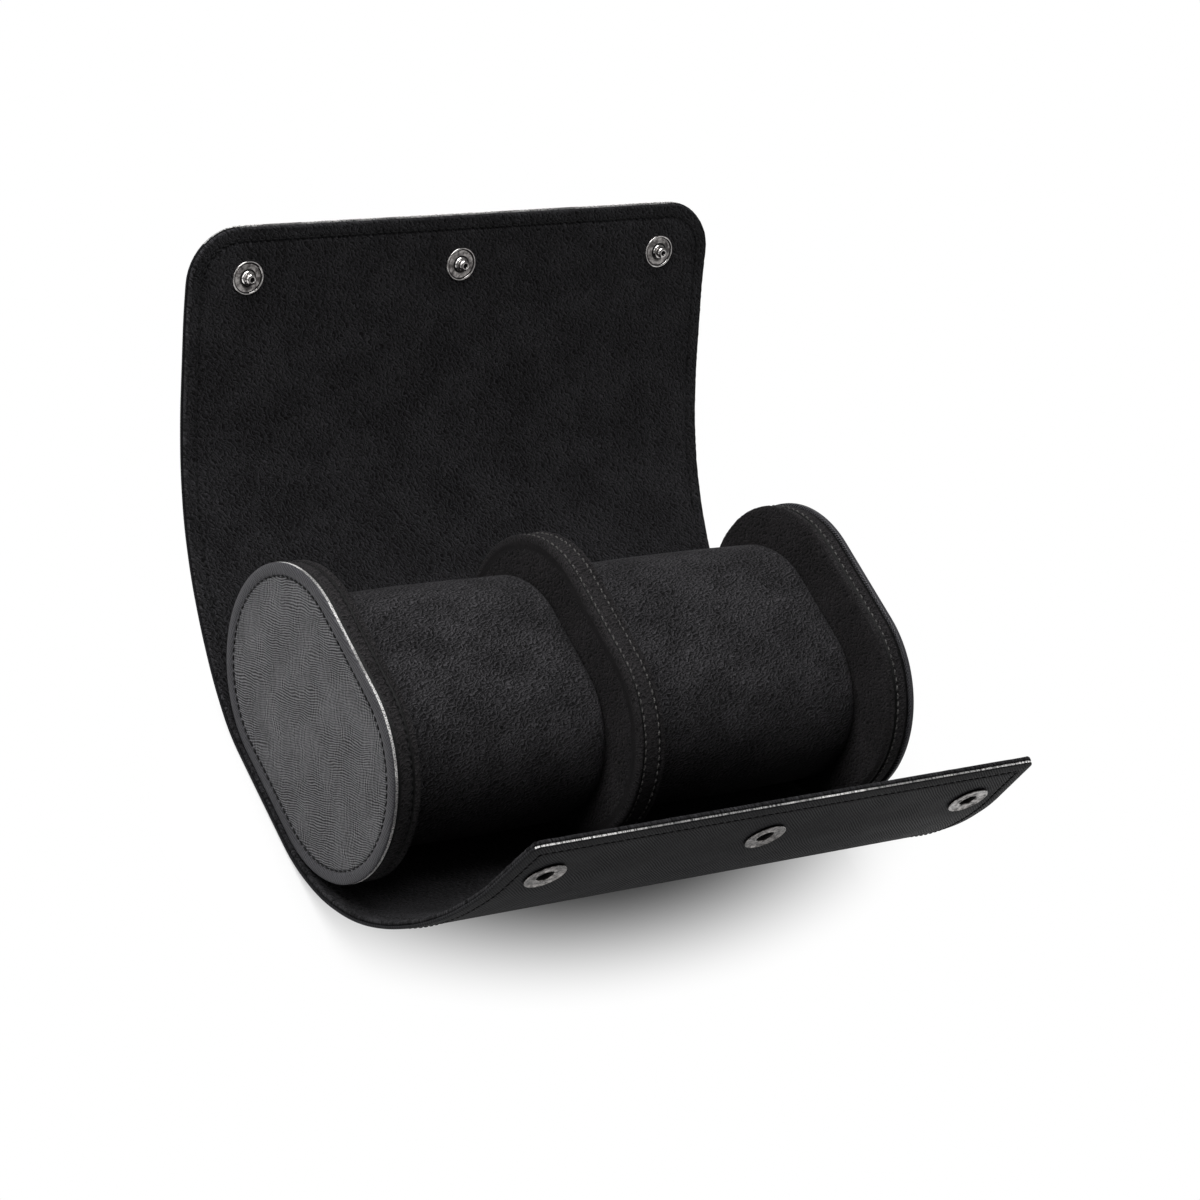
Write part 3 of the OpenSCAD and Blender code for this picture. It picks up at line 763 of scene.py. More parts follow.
# %% The flat mesh of a stretch
def plan_of(side, start, stop, corner, trim):
    """The flat mesh of a stretch: points (across, along, inset), quads, outer edge, end rows."""
    left = np.stack([outline_loop(side, start, stop, trim + d, corner) for d in INSETS], 1)
    rows, depth = left.shape[:2]
    share = np.linspace(0, 1, MIDDLE_COLUMNS + 1)[1:-1]
    last = left[:, -1]
    middle = np.stack([last[:, :1] * (1 - 2 * share), last[:, 1:] + 0 * share], -1)
    grid = np.concatenate([left, middle, left[:, ::-1] * [-1, 1]], 1)
    columns = grid.shape[1]
    inset = np.concatenate([INSETS, np.full(len(share), INSETS[-1]), INSETS[::-1]])
    inset = np.broadcast_to(inset, (rows, columns))
    points = [*np.concatenate([grid, inset[..., None]], -1).reshape(-1, 3)]
    index = np.arange(rows * columns).reshape(rows, columns)
    quads = [
        (index[i, j], index[i, j + 1], index[i + 1, j + 1], index[i + 1, j])
        for i in range(rows - 1) for j in range(columns - 1)
    ]
    edges, end_rows = [list(index[:, 0]), list(index[::-1, -1])], [list(index[0]), list(index[-1])]
    if corner is not None:
        ring = list(index[-1, depth - 1:columns - depth + 1])
        for d in range(depth - 2, -1, -1):
            (first, at), (final, _) = grid[-1, d], grid[-1, columns - 1 - d]
            outer = [index[-1, d]]
            for across in np.linspace(first, final, len(ring))[1:-1]:
                outer.append(len(points))
                points.append(np.array([across, at, INSETS[d]]))
            outer.append(index[-1, columns - 1 - d])
            quads += [(ring[i], ring[i + 1], outer[i + 1], outer[i]) for i in range(len(ring) - 1)]
            ring = outer
        edges, end_rows = [edges[0] + ring[1:-1] + edges[1]], end_rows[:1]
    return np.array(points), quads, edges, end_rows


# %% [markdown]
# ### Edges, grooves and holes
# The leather's border is rolled down to its edge, both faces sink along the stitches, and the
# leather is pulled in round each socket. The nap makes the rim of the lining uneven. Through the
# flap go three round holes, where the studs of the closed lid enter, and those are real cuts made
# with a Boolean, because a dark disc painted on the flap would meet the stud.

# %% Shape the faces of a stretch
EDGE_ROUND, CUT_ROUND = 0.7, 0.3
GROOVE_WIDTH = 0.5
ROLL_WIDTH, BORDER_ROLL = 4.2, 0.35
RIM_FUZZ, RIM_FUZZ_RATE, RIM_FUZZ_REACH = 0.22, 0.7, 0.9
SOCKET_PULL, SOCKET_PULL_REACH = 0.3, 8.5


def face_drop(inset, groove, roll):
    """How far a face lies below its level: a rolled border, a rounded edge, the stitches' groove."""
    edge = EDGE_ROUND if roll == 0 else CUT_ROUND
    near = np.clip(edge - inset, 0, edge)
    rounding = edge - np.sqrt(np.clip(edge**2 - near**2, 0, None))
    dip = groove * np.exp(-(((inset - STITCH_INSET) / GROOVE_WIDTH) ** 2))
    return rounding + dip + roll * np.clip(1 - inset / ROLL_WIDTH, 0, 1) ** 2


def socket_pull(side, across, along):
    """How far the leather is pulled in round each socket."""
    pull = np.zeros(np.shape(along))
    if side["name"] == "flap":
        for x in SNAP_ACROSS:
            away = np.hypot(across - x, along - socket_place(side))
            pull = np.maximum(pull, SOCKET_PULL * np.exp(-((away / SOCKET_PULL_REACH) ** 4)))
    return pull


def rim_fuzz(across, along, inset):
    """A small unevenness of the nap along the cut rim of the lining."""
    spots = zip(across * RIM_FUZZ_RATE, along * RIM_FUZZ_RATE, inset)
    return np.array([noise.noise((a, b, 0.0)) if d < RIM_FUZZ_REACH else 0.0 for a, b, d in spots]) * RIM_FUZZ


# %% Punch the holes of the flap
HOLE_RADIUS, HOLE_SIDES, HOLE_LEVELS = 2.55, 32, (-3.4, -0.6)
FIRST = np.array([1.0, 0, 0])


def punch(piece, side):
    """Cuts a round hole at each socket, through the leather and part of the lining."""
    points, faces = [], []
    for low, high in zip(*(at_snaps(side, socket_place(side), level) for level in HOLE_LEVELS)):
        second = np.cross((high - low) / np.linalg.norm(high - low), FIRST)
        faces += tube_faces(2, HOLE_SIDES, len(points), capped=True)
        for spot in (low, high):
            points += circle(spot, FIRST, second, HOLE_RADIUS * MM, HOLE_SIDES)
    punches = make_piece("punches", points, faces, np.zeros((len(points), 2)), [painted_shade_black])
    cut = piece.modifiers.new("punch", "BOOLEAN")
    cut.operation, cut.solver, cut.object = "DIFFERENCE", "EXACT", punches
    shown = piece.evaluated_get(bpy.context.evaluated_depsgraph_get())
    holed = bpy.data.meshes.new_from_object(shown)
    piece.modifiers.remove(cut)
    piece.data = holed
    bpy.data.objects.remove(punches)
    print(piece.name, "is punched:", len(holed.vertices), "points")


# %% Build one stretch
LIP_OVERHANG = 0.8
PALE_RIM = 0.75


def fold_blend(piece):
    """Bakes the piece's place in the scene into its points."""
    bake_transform(piece)


def lay_stretch(side, k, layer, face_level, back_level, trim, groove, materials):
    """One stretch of one layer as a closed slab, across fold k."""
    start, stop = side["borders"][k - 1], side["borders"][k]
    corner = None
    if k == len(side["borders"]) - 1:
        corner = (LID_CORNER if side["name"] == "lid" else LIP_CORNER) - trim
        stop += LIP_OVERHANG if side["name"] == "flap" and trim > 0 else 0
    flat, quads, edges, end_rows = plan_of(side, start, stop, corner, trim)
    across, along, inset = flat.T
    outward = 1 if face_level > back_level else -1
    drop = face_drop(inset, groove, BORDER_ROLL if outward < 0 else 0.0)
    drop += socket_pull(side, across, along) if outward < 0 else rim_fuzz(across, along, inset)
    face = on_wrap(side, across, along, face_level - outward * drop)
    back = on_wrap(side, across, along, back_level)
    n = len(flat)
    faces = list(quads) + [tuple(n + i for i in reversed(q)) for q in quads]
    rim_from = side["end"] - PALE_RIM
    pale = [along[list(q)].min() > rim_from and inset[list(q)].max() < PALE_RIM for q in quads]
    kinds = [0] * len(quads) + [int(p and corner is not None) for p in pale]
    for run in edges + end_rows:
        for a, b in zip(run, run[1:]):
            faces.append((a, b, n + b, n + a))
            way = np.abs(flat[b] - flat[a])
            kinds.append(1 if run in edges and way[0] > way[1] else 0)
    sharp = {v for row in end_rows for i in row for v in (i, n + i)}
    places = np.concatenate([flat[:, :2], flat[:, :2]]) * MM
    places[:, 1] *= side["sign"]
    name = f"{side['name']}_{layer}_stretch_{k}"
    piece = make_piece(name, np.concatenate([face, back]), faces, places, materials, kinds, sharp)
    if side["name"] == "flap" and corner is not None:
        punch(piece, side)
    fold_blend(piece)
    return piece


# %% Lay the leather and the lining
LEATHER_BACK, LINING_BACK = -1.5, -1.4
LEATHER_GROOVE, LINING_GROOVE = 0.28, 0.38
LINING_TRIM = 0.5
for side in (lid, flap):
    for k in range(1, len(side["borders"])):
        finishes = [wrap_leather, cut_edge]
        piece = lay_stretch(side, k, "leather", -WALL, LEATHER_BACK, 0.0, LEATHER_GROOVE, finishes)
        nodes = [f"{side['name']}_leather_{k}"] + (["base_leather"] if k == 1 else [])
        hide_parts(*nodes)
        finishes = [wrap_suede, wrap_suede]
        piece = lay_stretch(side, k, "lining", 0.0, LINING_BACK, LINING_TRIM, LINING_GROOVE, finishes)
        nodes = [f"{side['name']}_lining_{k}"] + (["base_lining"] if k == 1 else [])
        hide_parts(*nodes)

# %% [markdown]
# ## Stitches
# A stitch is a short arch of thread that dips into the sheet at both ends. Each one is a thin
# capsule, bent along its path and sunk in the groove. A dashed bump would be cheaper, but the
# arches catch the light, which is how the eye finds a black seam on black suede.

# %% Make a row of stitches
STITCH_PITCH, STITCH_LENGTH, THREAD_RADIUS = 2.6, 2.0, 0.28
STITCH_ARCH, STITCH_SLANT, STITCH_TIP = 0.2, 0.16, 0.04
STITCH_RINGS, STITCH_SIDES = 6, 6


def stitch_mesh(centres, tangents, normals):
    """Points and faces of one arched stitch for each centre, tangent and normal, in metres."""
    points, faces = [], []
    for centre, tangent, normal in zip(centres, tangents, normals):
        tangent = tangent / np.linalg.norm(tangent)
        normal = normal / np.linalg.norm(normal)
        sideways = np.cross(tangent, normal)
        tangent, sideways = (
            tangent * math.cos(STITCH_SLANT) + sideways * math.sin(STITCH_SLANT),
            sideways * math.cos(STITCH_SLANT) - tangent * math.sin(STITCH_SLANT),
        )
        faces += tube_faces(STITCH_RINGS + 1, STITCH_SIDES, len(points), capped=True)
        for t in np.linspace(-1, 1, STITCH_RINGS + 1):
            spot = centre + (tangent * t * STITCH_LENGTH / 2 + normal * STITCH_ARCH * (1 - t * t)) * MM
            width = THREAD_RADIUS * math.sqrt(max(STITCH_TIP, 1 - abs(t) ** 3)) * MM
            points += circle(spot, sideways, normal, width, STITCH_SIDES)
    return points, faces


def thread_piece(name, rows, material):
    """One object of several rows of stitches, each given as centres, tangents and normals."""
    points, faces = [], []
    for row in rows:
        more, quads = stitch_mesh(*row)
        faces += [tuple(len(points) + i for i in q) for q in quads]
        points += more
    return make_piece(name, points, faces, np.zeros((len(points), 2)), [material])


# %% Sew round the wrap
THREAD_SINK = 0.2


def seam_path(side):
    """The line of the stitches on the flat sheet, from base to base round the end, in even steps."""
    corner = LID_CORNER if side["name"] == "lid" else LIP_CORNER
    run = outline_loop(side, 0.0, side["end"], STITCH_INSET, corner)
    path = np.concatenate([run, run[::-1] * [-1, 1]])
    gaps = np.linalg.norm(np.diff(path, axis=0), axis=1)
    length = np.concatenate([[0], np.cumsum(gaps)])
    steps = np.arange(STITCH_PITCH / 2, length[-1], STITCH_PITCH)
    return np.stack([np.interp(steps, length, path[:, i]) for i in (0, 1)], 1)


def wrap_rows(side, path, level, outward):
    """Centres, tangents and normals of the stitches at path on one face of the wrap."""
    ahead = np.gradient(path, axis=0)
    ahead /= np.linalg.norm(ahead, axis=1, keepdims=True)
    centres = on_wrap(side, path[:, 0], path[:, 1], level)
    tips = on_wrap(side, path[:, 0] + ahead[:, 0], path[:, 1] + ahead[:, 1], level)
    above = on_wrap(side, path[:, 0], path[:, 1], level + outward)
    return centres, tips - centres, above - centres


for side in (lid, flap):
    path = seam_path(side)
    outer = wrap_rows(side, path, -WALL + THREAD_SINK, -1.0)
    inner = wrap_rows(side, path, -THREAD_SINK, 1.0)
    for k in range(1, len(side["borders"])):
        here = (path[:, 1] >= side["borders"][k - 1]) & (path[:, 1] < side["borders"][k])
        rows = [tuple(part[here] for part in row) for row in (outer, inner)]
        piece = thread_piece(f"{side['name']}_thread_{k}", rows, dark_thread)
        fold_blend(piece)
print("stitches round the wrap:", 2 * len(seam_path(lid)) + 2 * len(seam_path(flap)))

# %% [markdown]
# ## The discs
# Each disc is a board in a sewn cover. A section carried round the stadium gives the cover: the
# outer leather with its rolled border and raw edge, and the suede that wraps the rim and the inner
# face. The section's points are where the shape changes, and the puckers between the stitches are
# a small wave along the border. A bevelled extrusion would have neither seam nor pucker.

# %% Stations round a stadium
STRAIGHT, DISC_RADIUS = 32.0, 36.5
DISC_HEIGHT = DISC_CENTRE.z / MM


def stadium_at(straight, radius, along):
    """Centre (along y), angle and distance of the stations at some distances round a stadium."""
    arc = math.pi * radius
    along = np.mod(along, 2 * (straight + arc))
    part = np.searchsorted(np.cumsum([straight, arc, straight]), along, side="right")
    way = along - np.array([0, straight, straight + arc, 2 * straight + arc])[part]
    parts = [part == 0, part == 1, part == 2]
    centre = np.select(parts, [way - straight / 2, straight / 2, straight / 2 - way], -straight / 2)
    bottom, top = -math.pi / 2, math.pi / 2
    angle = np.select(parts, [bottom, bottom + way / radius, top], top + way / radius)
    return centre, angle, along


def stadium(straight, radius, step):
    """Evenly spaced stations of a closed stadium, starting at the bottom."""
    total = 2 * (straight + math.pi * radius)
    return stadium_at(straight, radius, np.linspace(0, total, int(round(total / step)), endpoint=False))


print("a disc is", STRAIGHT + 2 * DISC_RADIUS, "mm long and", 2 * DISC_RADIUS, "mm high")

# %% Carry a section round the disc
LOOSE_ALONG, LOOSE_ROUND, LOOSE_FROM = 0.1, 40, 30


def sweep(name, section, to_x, materials, row_kinds, step, flat_from, pucker=None, slack=0.0):
    """A cover swept round the disc. Section points are (radius, depth), and to_x turns depth into x."""
    centre, angle, along = stadium(STRAIGHT, DISC_RADIUS, step)
    points, places = [], []
    for radius, depth in section:
        lift = pucker(radius, along) if pucker else 0
        spots = zip(centre * LOOSE_ALONG + LOOSE_ROUND * np.cos(angle), LOOSE_ROUND * np.sin(angle))
        loose = np.array([noise.noise((*spot, depth)) for spot in spots])
        far = radius - slack * (0.5 + loose) * (radius > LOOSE_FROM)
        y, z = centre + far * np.cos(angle), far * np.sin(angle)
        x = np.broadcast_to(to_x(depth + lift), y.shape)
        points.append(np.stack([x, y, z + DISC_HEIGHT], 1))
        places.append(np.stack([y, z] if flat_from(radius, depth) else [along, x + radius], 1))
    points, places = np.concatenate(points) * MM, np.concatenate(places) * MM
    faces = tube_faces(len(section), len(along))
    kinds = tube_kinds(row_kinds, len(section), len(along))
    return make_piece(name, points, faces, places, materials, kinds)


def rim_row(radius, x, normal_of):
    """Centres, tangents and normals of stitches round the disc at a radius and x."""
    total = 2 * STRAIGHT + math.tau * radius
    count = int(round(total / STITCH_PITCH))
    centre, angle, _ = stadium_at(STRAIGHT, radius, (np.arange(count) + 0.5) * total / count)
    c, s = np.cos(angle), np.sin(angle)
    centres = np.stack([np.full(count, x), centre + radius * c, radius * s + DISC_HEIGHT], 1) * MM
    tangents = np.stack([np.zeros(count), -s, c], 1)
    radial = np.stack([np.zeros(count), c, s], 1)
    normals = radial if normal_of == "rim" else np.tile([normal_of, 0, 0], (count, 1))
    return centres, tangents, normals


# %% Leather faces of the end discs
FACE_SECTION = [
    (34.8, 1.9), (36.3, 1.9), (36.48, 1.8), (36.5, 1.6), (36.5, 0.9), (36.46, 0.62), (36.32, 0.38),
    (36.0, 0.18), (35.5, 0.06), (34.8, 0.0), (34.0, 0.02), (33.4, 0.12), (32.95, 0.28), (32.6, 0.5),
    (32.3, 0.66), (32.0, 0.55), (31.6, 0.44), (31.0, 0.42), (30.0, 0.44), (27.0, 0.45), (22.0, 0.42),
    (16.0, 0.4), (10.0, 0.38), (5.0, 0.37), (0.0, 0.36),
]
FACE_KINDS = {**dict.fromkeys((2, 3), 1), **dict.fromkeys(range(4, 13), 2)}
FACE_STEP, FACE_FLAT_DEPTH = 0.5, 0.8
FACE_STITCH_RADIUS, FACE_STITCH_DEPTH = 32.3, 0.58
PUCKER, PUCKER_WIDTH, PUCKER_SHIFT = 0.07, 0.9, 0.5
END_X = 100.0
ENDS = (("left", -1), ("right", 1))
face_pitch = (2 * STRAIGHT + math.tau * DISC_RADIUS) / round(
    (2 * STRAIGHT + math.tau * FACE_STITCH_RADIUS) / STITCH_PITCH
)


def face_pucker(radius, along):
    """A wave between the stitches that dies away on both sides of their line."""
    reach = math.exp(-(((radius - FACE_STITCH_RADIUS - PUCKER_SHIFT) / PUCKER_WIDTH) ** 2))
    return -PUCKER * reach * np.cos(math.tau * along / face_pitch)


def from_end(side_sign):
    """What turns a depth below the outer face of an end disc into x."""
    return lambda depth: side_sign * (END_X - depth)


for name, side_sign in ENDS:
    # Painted shade: the right disc's cut edge takes the darker border leather in place of the pale raw edge,
    # so that it doesn't shine where the lamp from above lights it.
    edge = cut_edge if name == "left" else border_leather_painted_sheen
    piece = sweep(
        f"{name}_disc_leather", FACE_SECTION, from_end(side_sign), [disc_leather_painted_sheen, edge, border_leather_painted_sheen],
        FACE_KINDS, FACE_STEP, lambda radius, depth: depth < FACE_FLAT_DEPTH, pucker=face_pucker,
    )
    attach(piece, "body")
    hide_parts(f"{name}_disc_face")
    print(piece.name, len(piece.data.vertices), "points")

# %% [markdown]
# ### Suede covers of the end discs
# Suede wraps the rim and the inner face in one piece. Its two parts meet on the rim in a slit, with
# a row of stitches beside it and a soft lip over it. The slit is a real dip in the section, and its
# shadow is painted in near-black, because it is too narrow for the shadow alone to draw it.

# %% Cover the end discs
END_SECTION = [
    (35.2, 2.0), (35.6, 2.05), (35.66, 2.9), (35.95, 3.3), (36.14, 3.9), (36.2, 4.8), (36.18, 5.8),
    (36.14, 6.4), (36.06, 6.85), (35.9, 7.15), (35.66, 7.4), (35.6, 7.7), (35.66, 7.95), (36.0, 8.15),
    (36.28, 8.4), (36.42, 8.8), (36.48, 9.3), (36.4, 9.7), (36.15, 10.05), (35.7, 10.3), (35.1, 10.44),
    (34.2, 10.5), (32.0, 10.5), (29.0, 10.5), (24.0, 10.48), (16.0, 10.46), (8.0, 10.45), (0.0, 10.45),
]
SEAM_DEPTH, SEAM_RADIUS = 6.9, 35.98
INNER_FACE, COVER_FLAT_DEPTH = 10.5, 10.2
COVER_STEP, COVER_SLACK = 1.0, 0.2
SLIT_BOTTOM, SLIT_TOP, SLIT_MARGIN = 35.5, 36.1, 1.5


def painted_slit_shade_rows(section, width):
    """Marks the rows of a cover's section that lie down in a slit, where shade is painted in near-black."""
    return {
        row: 1
        for row, ((r, depth), (next_r, _)) in enumerate(zip(section, section[1:]))
        if SLIT_BOTTOM < min(r, next_r) and max(r, next_r) < SLIT_TOP
        and SLIT_MARGIN < depth < width - SLIT_MARGIN
    }


for name, side_sign in ENDS:
    to_x = from_end(side_sign)
    # The slit of each cover is painted near-black: painted shade.
    piece = sweep(
        f"{name}_disc_cover", END_SECTION, to_x, [disc_suede, painted_shade_black],
        painted_slit_shade_rows(END_SECTION, INNER_FACE), COVER_STEP,
        lambda radius, depth: depth > COVER_FLAT_DEPTH, slack=COVER_SLACK,
    )
    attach(piece, "body")
    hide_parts(f"{name}_disc_rim", f"{name}_disc_suede")
    rows = [rim_row(SEAM_RADIUS, to_x(SEAM_DEPTH), "rim")]
    # The rim seam of the right disc is grey thread with painted glints, that of the left disc black.
    yarn = dark_thread if name == "left" else grey_thread_painted_glint
    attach(thread_piece(f"{name}_disc_seams", rows, yarn), "body")
    face_rows = [rim_row(FACE_STITCH_RADIUS, to_x(FACE_STITCH_DEPTH), side_sign)]
    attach(thread_piece(f"{name}_disc_stitching", face_rows, dark_thread), "body")
    print(name, "disc has", len(rows[0][0]), "stitches on its rim and", len(face_rows[0][0]), "on its face")

# %% [markdown]
# ### The divider
# The divider is a thinner disc with suede on both sides and a band between them, sewn along both of
# its edges. It has the same stadium and the same way of making as the end covers, with a roll on
# its left edge and a welt on its right one, so one sweep makes all of it.

# %% Cover the divider
DIVIDER_WIDTH, DIVIDER_START, DIVIDER_FLAT_RADIUS = 10.2, -10.1, 34
DIVIDER_SEAM_RADIUS, DIVIDER_SEAMS = 35.97, (2.35, DIVIDER_WIDTH - 2.7)
LEFT_ROLL = [
    (0.0, 0.05), (8.0, 0.05), (16.0, 0.04), (24.0, 0.02), (29.0, 0.0), (32.0, 0.0), (34.2, 0.02),
    (35.0, 0.12), (35.6, 0.28), (36.05, 0.5), (36.34, 0.8), (36.45, 1.1), (36.38, 1.4), (36.08, 1.58),
    (35.72, 1.68), (35.6, 1.82), (35.76, 1.96), (36.0, 2.1), (36.14, 2.7), (36.2, 5.1),
]
FLAT_POINTS = 7
RIGHT_WELT = [
    (36.18, 4.0), (36.1, 2.8), (35.95, 2.4), (35.7, 2.22), (35.6, 2.05), (35.72, 1.9), (36.1, 1.72),
    (36.4, 1.4), (36.5, 1.05), (36.4, 0.68), (36.1, 0.36), (35.6, 0.14), (34.8, 0.02),
]
right_half = RIGHT_WELT + LEFT_ROLL[:FLAT_POINTS][::-1]
divider_section = LEFT_ROLL + [(radius, DIVIDER_WIDTH - depth) for radius, depth in right_half]
# The divider's slits also get painted shade in near-black.
divider = sweep(
    "divider_cover", divider_section, lambda depth: DIVIDER_START + depth, [disc_suede, painted_shade_black],
    painted_slit_shade_rows(divider_section, DIVIDER_WIDTH), COVER_STEP,
    lambda radius, depth: radius < DIVIDER_FLAT_RADIUS, slack=COVER_SLACK,
)
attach(divider, "body")
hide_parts("divider_rim", "divider_left_suede", "divider_right_suede")
rows = [rim_row(DIVIDER_SEAM_RADIUS, DIVIDER_START + depth, "rim") for depth in DIVIDER_SEAMS]
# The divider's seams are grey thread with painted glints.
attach(thread_piece("divider_seams", rows, grey_thread_painted_glint), "body")
print("divider:", len(divider.data.vertices), "points")

# %% [markdown]
# ## The pillows
# A pillow is a firm roll of foam in a suede sleeve, a stadium in section, with a crowned side and a
# soft edge at each end. It is swept from rings that crowd together at the ends, and a slow noise
# gives the sleeve the slight dents of a stuffed form. The foam fills it tightly, so nothing sags,
# and cloth under pressure, held at the end panels, gives the last rounding of the sleeve.

# %% Rings and end panels of a pillow
PILLOW_STRAIGHT, PILLOW_RADIUS, PILLOW_CROWN = 25.0, 29.8, 0.8
PILLOW_EDGE, PILLOW_DRAW, EDGE_RINGS, SIDE_RINGS = 4.0, 0.62, 10, 24
PANEL_RADII = (0.0, 8.0, 16.0, 22.0, 25.5)
PANEL_FACING = 0.7


def pillow_rings(length):
    """(x, radius) of the rings of a pillow, with its rounded ends and flat end panels."""
    edge = PILLOW_EDGE / length
    shares = [edge * (1 - math.cos(a)) for a in np.radians(np.linspace(0, 90, EDGE_RINGS))]
    ends = [1 - share for share in reversed(shares)]
    shares += list(np.linspace(0, 1, SIDE_RINGS + 2)[1:-1] * (1 - 2 * edge) + edge) + ends
    rings = [(0.0, radius) for radius in PANEL_RADII]
    for share in shares:
        x = share * length
        near = max(0.0, PILLOW_EDGE - min(x, length - x)) / PILLOW_EDGE
        draw = PILLOW_EDGE * PILLOW_DRAW * (1 - math.sqrt(max(0.0, 1 - near**2)))
        rings.append((x, PILLOW_RADIUS - PILLOW_CROWN * (2 * abs(share - 0.5)) ** 2 - draw))
    return rings + [(length, radius) for radius in reversed(PANEL_RADII)]


def lay_flat_ends(piece):
    """Gives the end panels a place map of their own, so that the nap lies flat on them."""
    mesh = piece.data
    uv = mesh.uv_layers["place"].data
    for face in mesh.polygons:
        if abs(face.normal.x) > PANEL_FACING:
            for corner in face.loop_indices:
                at = mesh.vertices[mesh.loops[corner].vertex_index].co
                uv[corner].uv = (at.y, at.z)


# %% Let a sleeve swell
PRESSURE, SWELL_FRAMES, SWELL_CAP = 4.0, 20, 0.9


def let_swell(piece, held):
    """Blows the sleeve up a little as cloth, held where the end panels are, and caps each move."""
    mesh = piece.data
    before = np.array([v.co for v in mesh.vertices])
    group = piece.vertex_groups.new(name="held")
    group.add([int(i) for i in np.nonzero(held(before))[0]], 1.0, "REPLACE")
    cloth = piece.modifiers.new("swell", "CLOTH")
    cloth.settings.use_pressure = True
    cloth.settings.uniform_pressure_force = PRESSURE
    cloth.settings.effector_weights.gravity = 0.0
    cloth.settings.vertex_group_mass = group.name
    cloth.point_cache.frame_start, cloth.point_cache.frame_end = 1, SWELL_FRAMES
    for step in range(1, SWELL_FRAMES + 1):
        bpy.context.scene.frame_set(step)
    shown = piece.evaluated_get(bpy.context.evaluated_depsgraph_get()).to_mesh()
    move = np.array([v.co for v in shown.vertices]) - before
    piece.modifiers.remove(cloth)
    piece.vertex_groups.remove(group)
    bpy.context.scene.frame_set(1)
    length = np.linalg.norm(move, axis=1, keepdims=True)
    move *= np.minimum(1.0, SWELL_CAP * MM / np.maximum(length, TINY))
    mesh.vertices.foreach_set("co", (before + move).ravel())
    mesh.update()
    print(piece.name, "swelled by", round(float(length.max()) / MM, 2), "mm at most before the cap")


# %% Build the pillows
BAYS = {"left": (-89.5, -10.1), "right": (0.1, 89.5)}
END_GAP, HELD_DEPTH = 0.7, 0.05
PILLOW_Y, PILLOW_Z, PILLOW_STEP = 2.0, 32.9, 1.4
PILLOW_DENT, DENT_RATE, DENT_LEVEL, DENT_FROM = 0.22, 0.06, 0.2, 20


def build_pillow(name, bay):
    """A padded roll that fills its bay, with a gap at each end."""
    rings = pillow_rings(bay[1] - bay[0] - 2 * END_GAP)
    centre, angle, along = stadium(PILLOW_STRAIGHT, PILLOW_RADIUS, PILLOW_STEP)
    points, places = [], []
    for x, radius in rings:
        narrow = min(1, radius / PANEL_RADII[1])
        for c, a, t in zip(centre, angle, along):
            round_y, round_z = math.cos(a), math.sin(a)
            spot = Vector((bay[0] + END_GAP + x, c * narrow + radius * round_y, radius * round_z))
            dent = PILLOW_DENT * max(0.0, noise.noise(spot * DENT_RATE) + DENT_LEVEL)
            dent *= radius > DENT_FROM
            spot.y -= dent * round_y
            spot.z -= dent * round_z
            points.append((spot.x * MM, (spot.y + PILLOW_Y) * MM, (spot.z + PILLOW_Z) * MM))
            places.append((spot.x * MM, t * MM))
    faces = tube_faces(len(rings), len(along))
    piece = make_piece(f"{name}_pillow", points, faces, places, [pillow_suede])
    lay_flat_ends(piece)
    low, high = ((bay[i] + way * (END_GAP + HELD_DEPTH)) * MM for i, way in ((0, 1), (1, -1)))
    let_swell(piece, lambda at: (at[:, 0] < low) | (at[:, 0] > high))
    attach(piece, f"{name}_pillow")
    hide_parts(f"{name}_pillow_sleeve", f"{name}_pillow_foam", f"{name}_pillow_end_panels")
    return piece


for name, bay in BAYS.items():
    piece = build_pillow(name, bay)
    print(piece.name, "is", round(piece.dimensions.x / MM, 1), "mm long")

# %% [markdown]
# ## The snaps
# A stud is a turned flange with a rolled rim, a sunk ring, a collar and a ball. A socket is a flat
# ring with a lip round its hole. Both are turned from a section with many small steps, because the
# rounded edges carry the bright lines that make plated metal read as metal. The sunk ring of the
# stud is aged nickel. Shade is painted in near-black on the lines beside it and on the waist and the
# dimple of the ball, and in the hole of the socket.

# %% Turn a set of snap pieces
TURNED_SIDES = 72


def turned_set(name, side, along, level, outward, section, materials, row_kinds, body, node):
    """Three turned pieces across the wrap, at a distance along it and a level."""
    origin = at_snaps(side, along, level)
    axis = at_snaps(side, along, level + outward) - origin
    points, faces, kinds = [], [], []
    for spot, normal in zip(origin, axis / np.linalg.norm(axis, axis=1, keepdims=True)):
        second = np.cross(normal, FIRST)
        faces += tube_faces(len(section), TURNED_SIDES, len(points))
        kinds += tube_kinds(row_kinds, len(section), TURNED_SIDES)
        for radius, height in section:
            points += circle(spot + normal * height * MM, FIRST, second, radius * MM, TURNED_SIDES)
    piece = make_piece(name, points, faces, np.zeros((len(points), 2)), materials, kinds)
    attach(piece, body)
    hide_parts(node)
    print(name, "at", round(along, 1), "mm from the middle of the base")


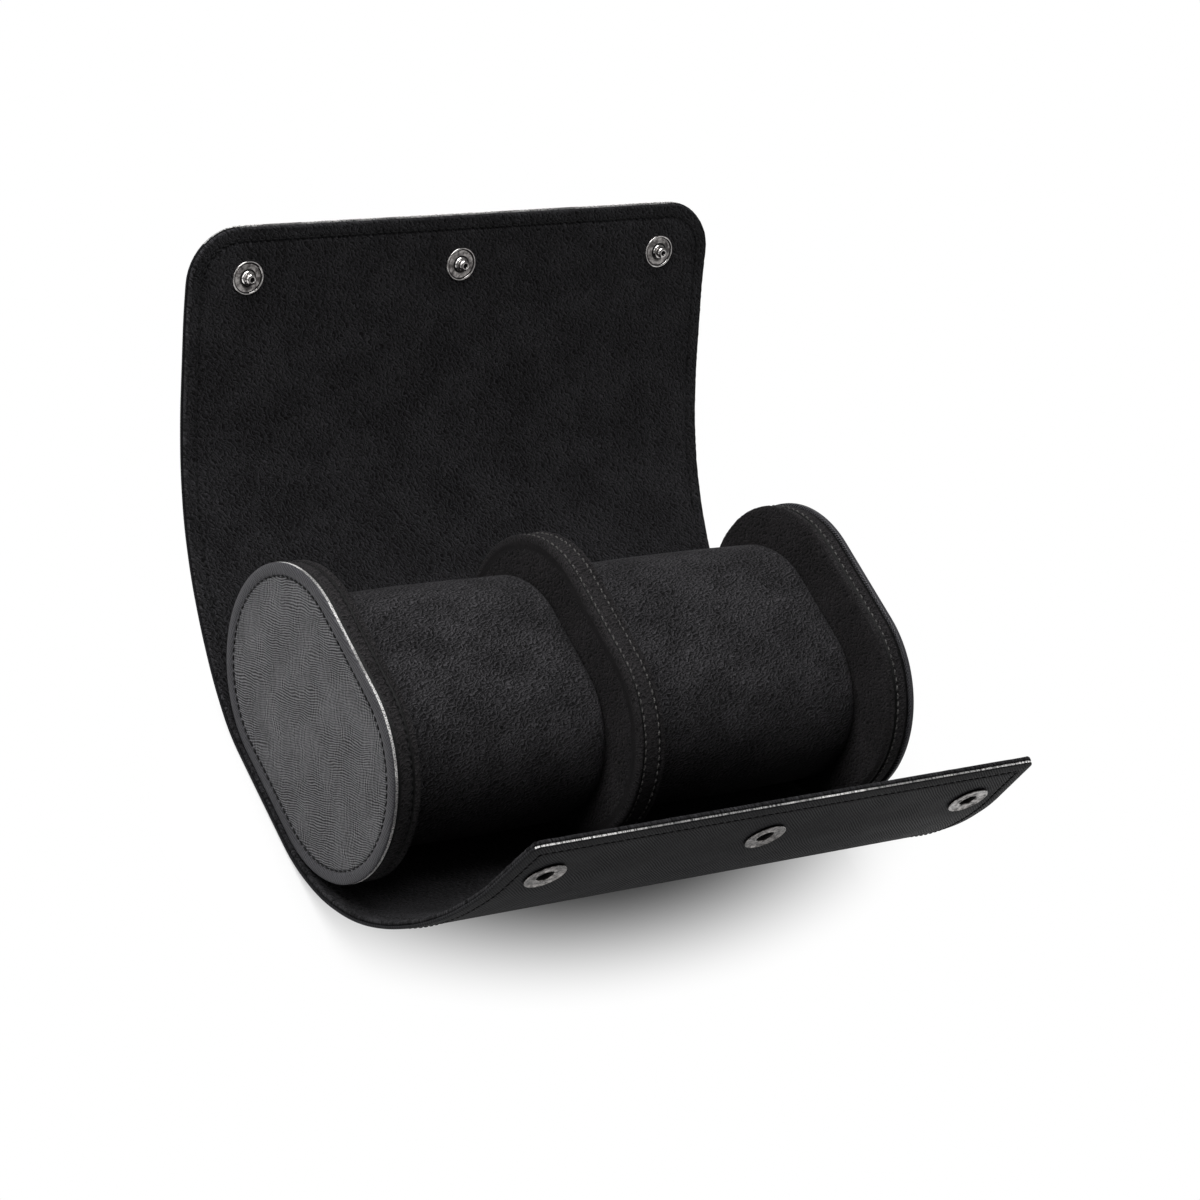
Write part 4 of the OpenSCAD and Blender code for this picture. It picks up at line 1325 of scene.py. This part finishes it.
# %% Turn the studs and the sockets
STUD_SECTION = [
    (5.2, -0.5), (5.5, -0.25), (5.52, 0.1), (5.5, 0.28), (5.4, 0.4), (5.22, 0.45), (5.04, 0.4),
    (4.92, 0.28), (4.82, 0.14), (4.66, 0.05), (4.4, 0.03), (4.0, 0.06), (3.4, 0.14), (2.9, 0.2),
    (2.6, 0.28), (2.4, 0.5), (2.26, 0.78), (2.05, 0.92), (1.75, 0.98), (1.5, 1.05), (1.42, 1.22),
    (1.46, 1.4), (1.66, 1.66), (1.84, 1.95), (1.84, 2.2), (1.7, 2.5), (1.42, 2.76), (1.12, 2.91),
    (0.94, 2.94), (0.8, 2.84), (0.7, 2.6), (0.66, 2.3), (0.0, 2.2),
]
SOCKET_SECTION = [
    (6.1, -0.6), (6.15, -0.2), (6.2, 0.02), (6.5, 0.08), (6.66, 0.2), (6.7, 0.38), (6.64, 0.54),
    (6.45, 0.62), (6.2, 0.58), (6.0, 0.46), (5.7, 0.36), (4.6, 0.34), (4.1, 0.36), (3.85, 0.46),
    (3.6, 0.55), (3.3, 0.56), (3.0, 0.46), (2.8, 0.25), (2.65, -0.05), (2.5, -0.5), (2.45, -0.9),
    (2.45, -2.1), (0.0, -2.1),
]
# Painted shade in near-black on the deep rows of the stud and in the hole of the socket.
SUNK_ROWS, PAINTED_SHADE_ROWS, PAINTED_HOLE_ROWS = range(9, 13), (7, 8, 13, 14, 19, 20, 29, 30, 31), range(17, 22)
turned_set(
    "lid_studs", lid, lid["after_arc"][-1] + STUD_FROM_FOLD - lid["reaches"][-1], 0.0, 1.0,
    STUD_SECTION, [bright_nickel, aged_nickel_painted_shade, painted_shade_black],
    {**dict.fromkeys(SUNK_ROWS, 1), **dict.fromkeys(PAINTED_SHADE_ROWS, 2)}, "lid_8", "snap_studs",
)
turned_set(
    "flap_sockets", flap, socket_place(flap), -WALL, -1.0,
    SOCKET_SECTION, [aged_nickel_painted_shade, painted_shade_black], dict.fromkeys(PAINTED_HOLE_ROWS, 1), "flap_7", "snap_sockets",
)

# %% [markdown]
# ## What stays from the frame
# The boards in the discs and the washers behind the snaps are hidden, and their plain shapes are
# right, so they stay and get their own finishes.

# %% Finish the nodes that stay
for node, piece in frame["nodes"].items():
    if piece.hide_render:
        continue
    finish = core_board if node.endswith("_core") else aged_nickel_painted_shade
    piece.data.materials.clear()
    piece.data.materials.append(finish)
    print(node, "keeps its solid and gets", finish.name)

# %% Compare the sizes and finish
low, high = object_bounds()
past = [round((b - a) / MM, 2) for a, b in zip([*cad_low, *cad_high], [*low, *high])]
print("visual box minus CAD box, mm:", past)
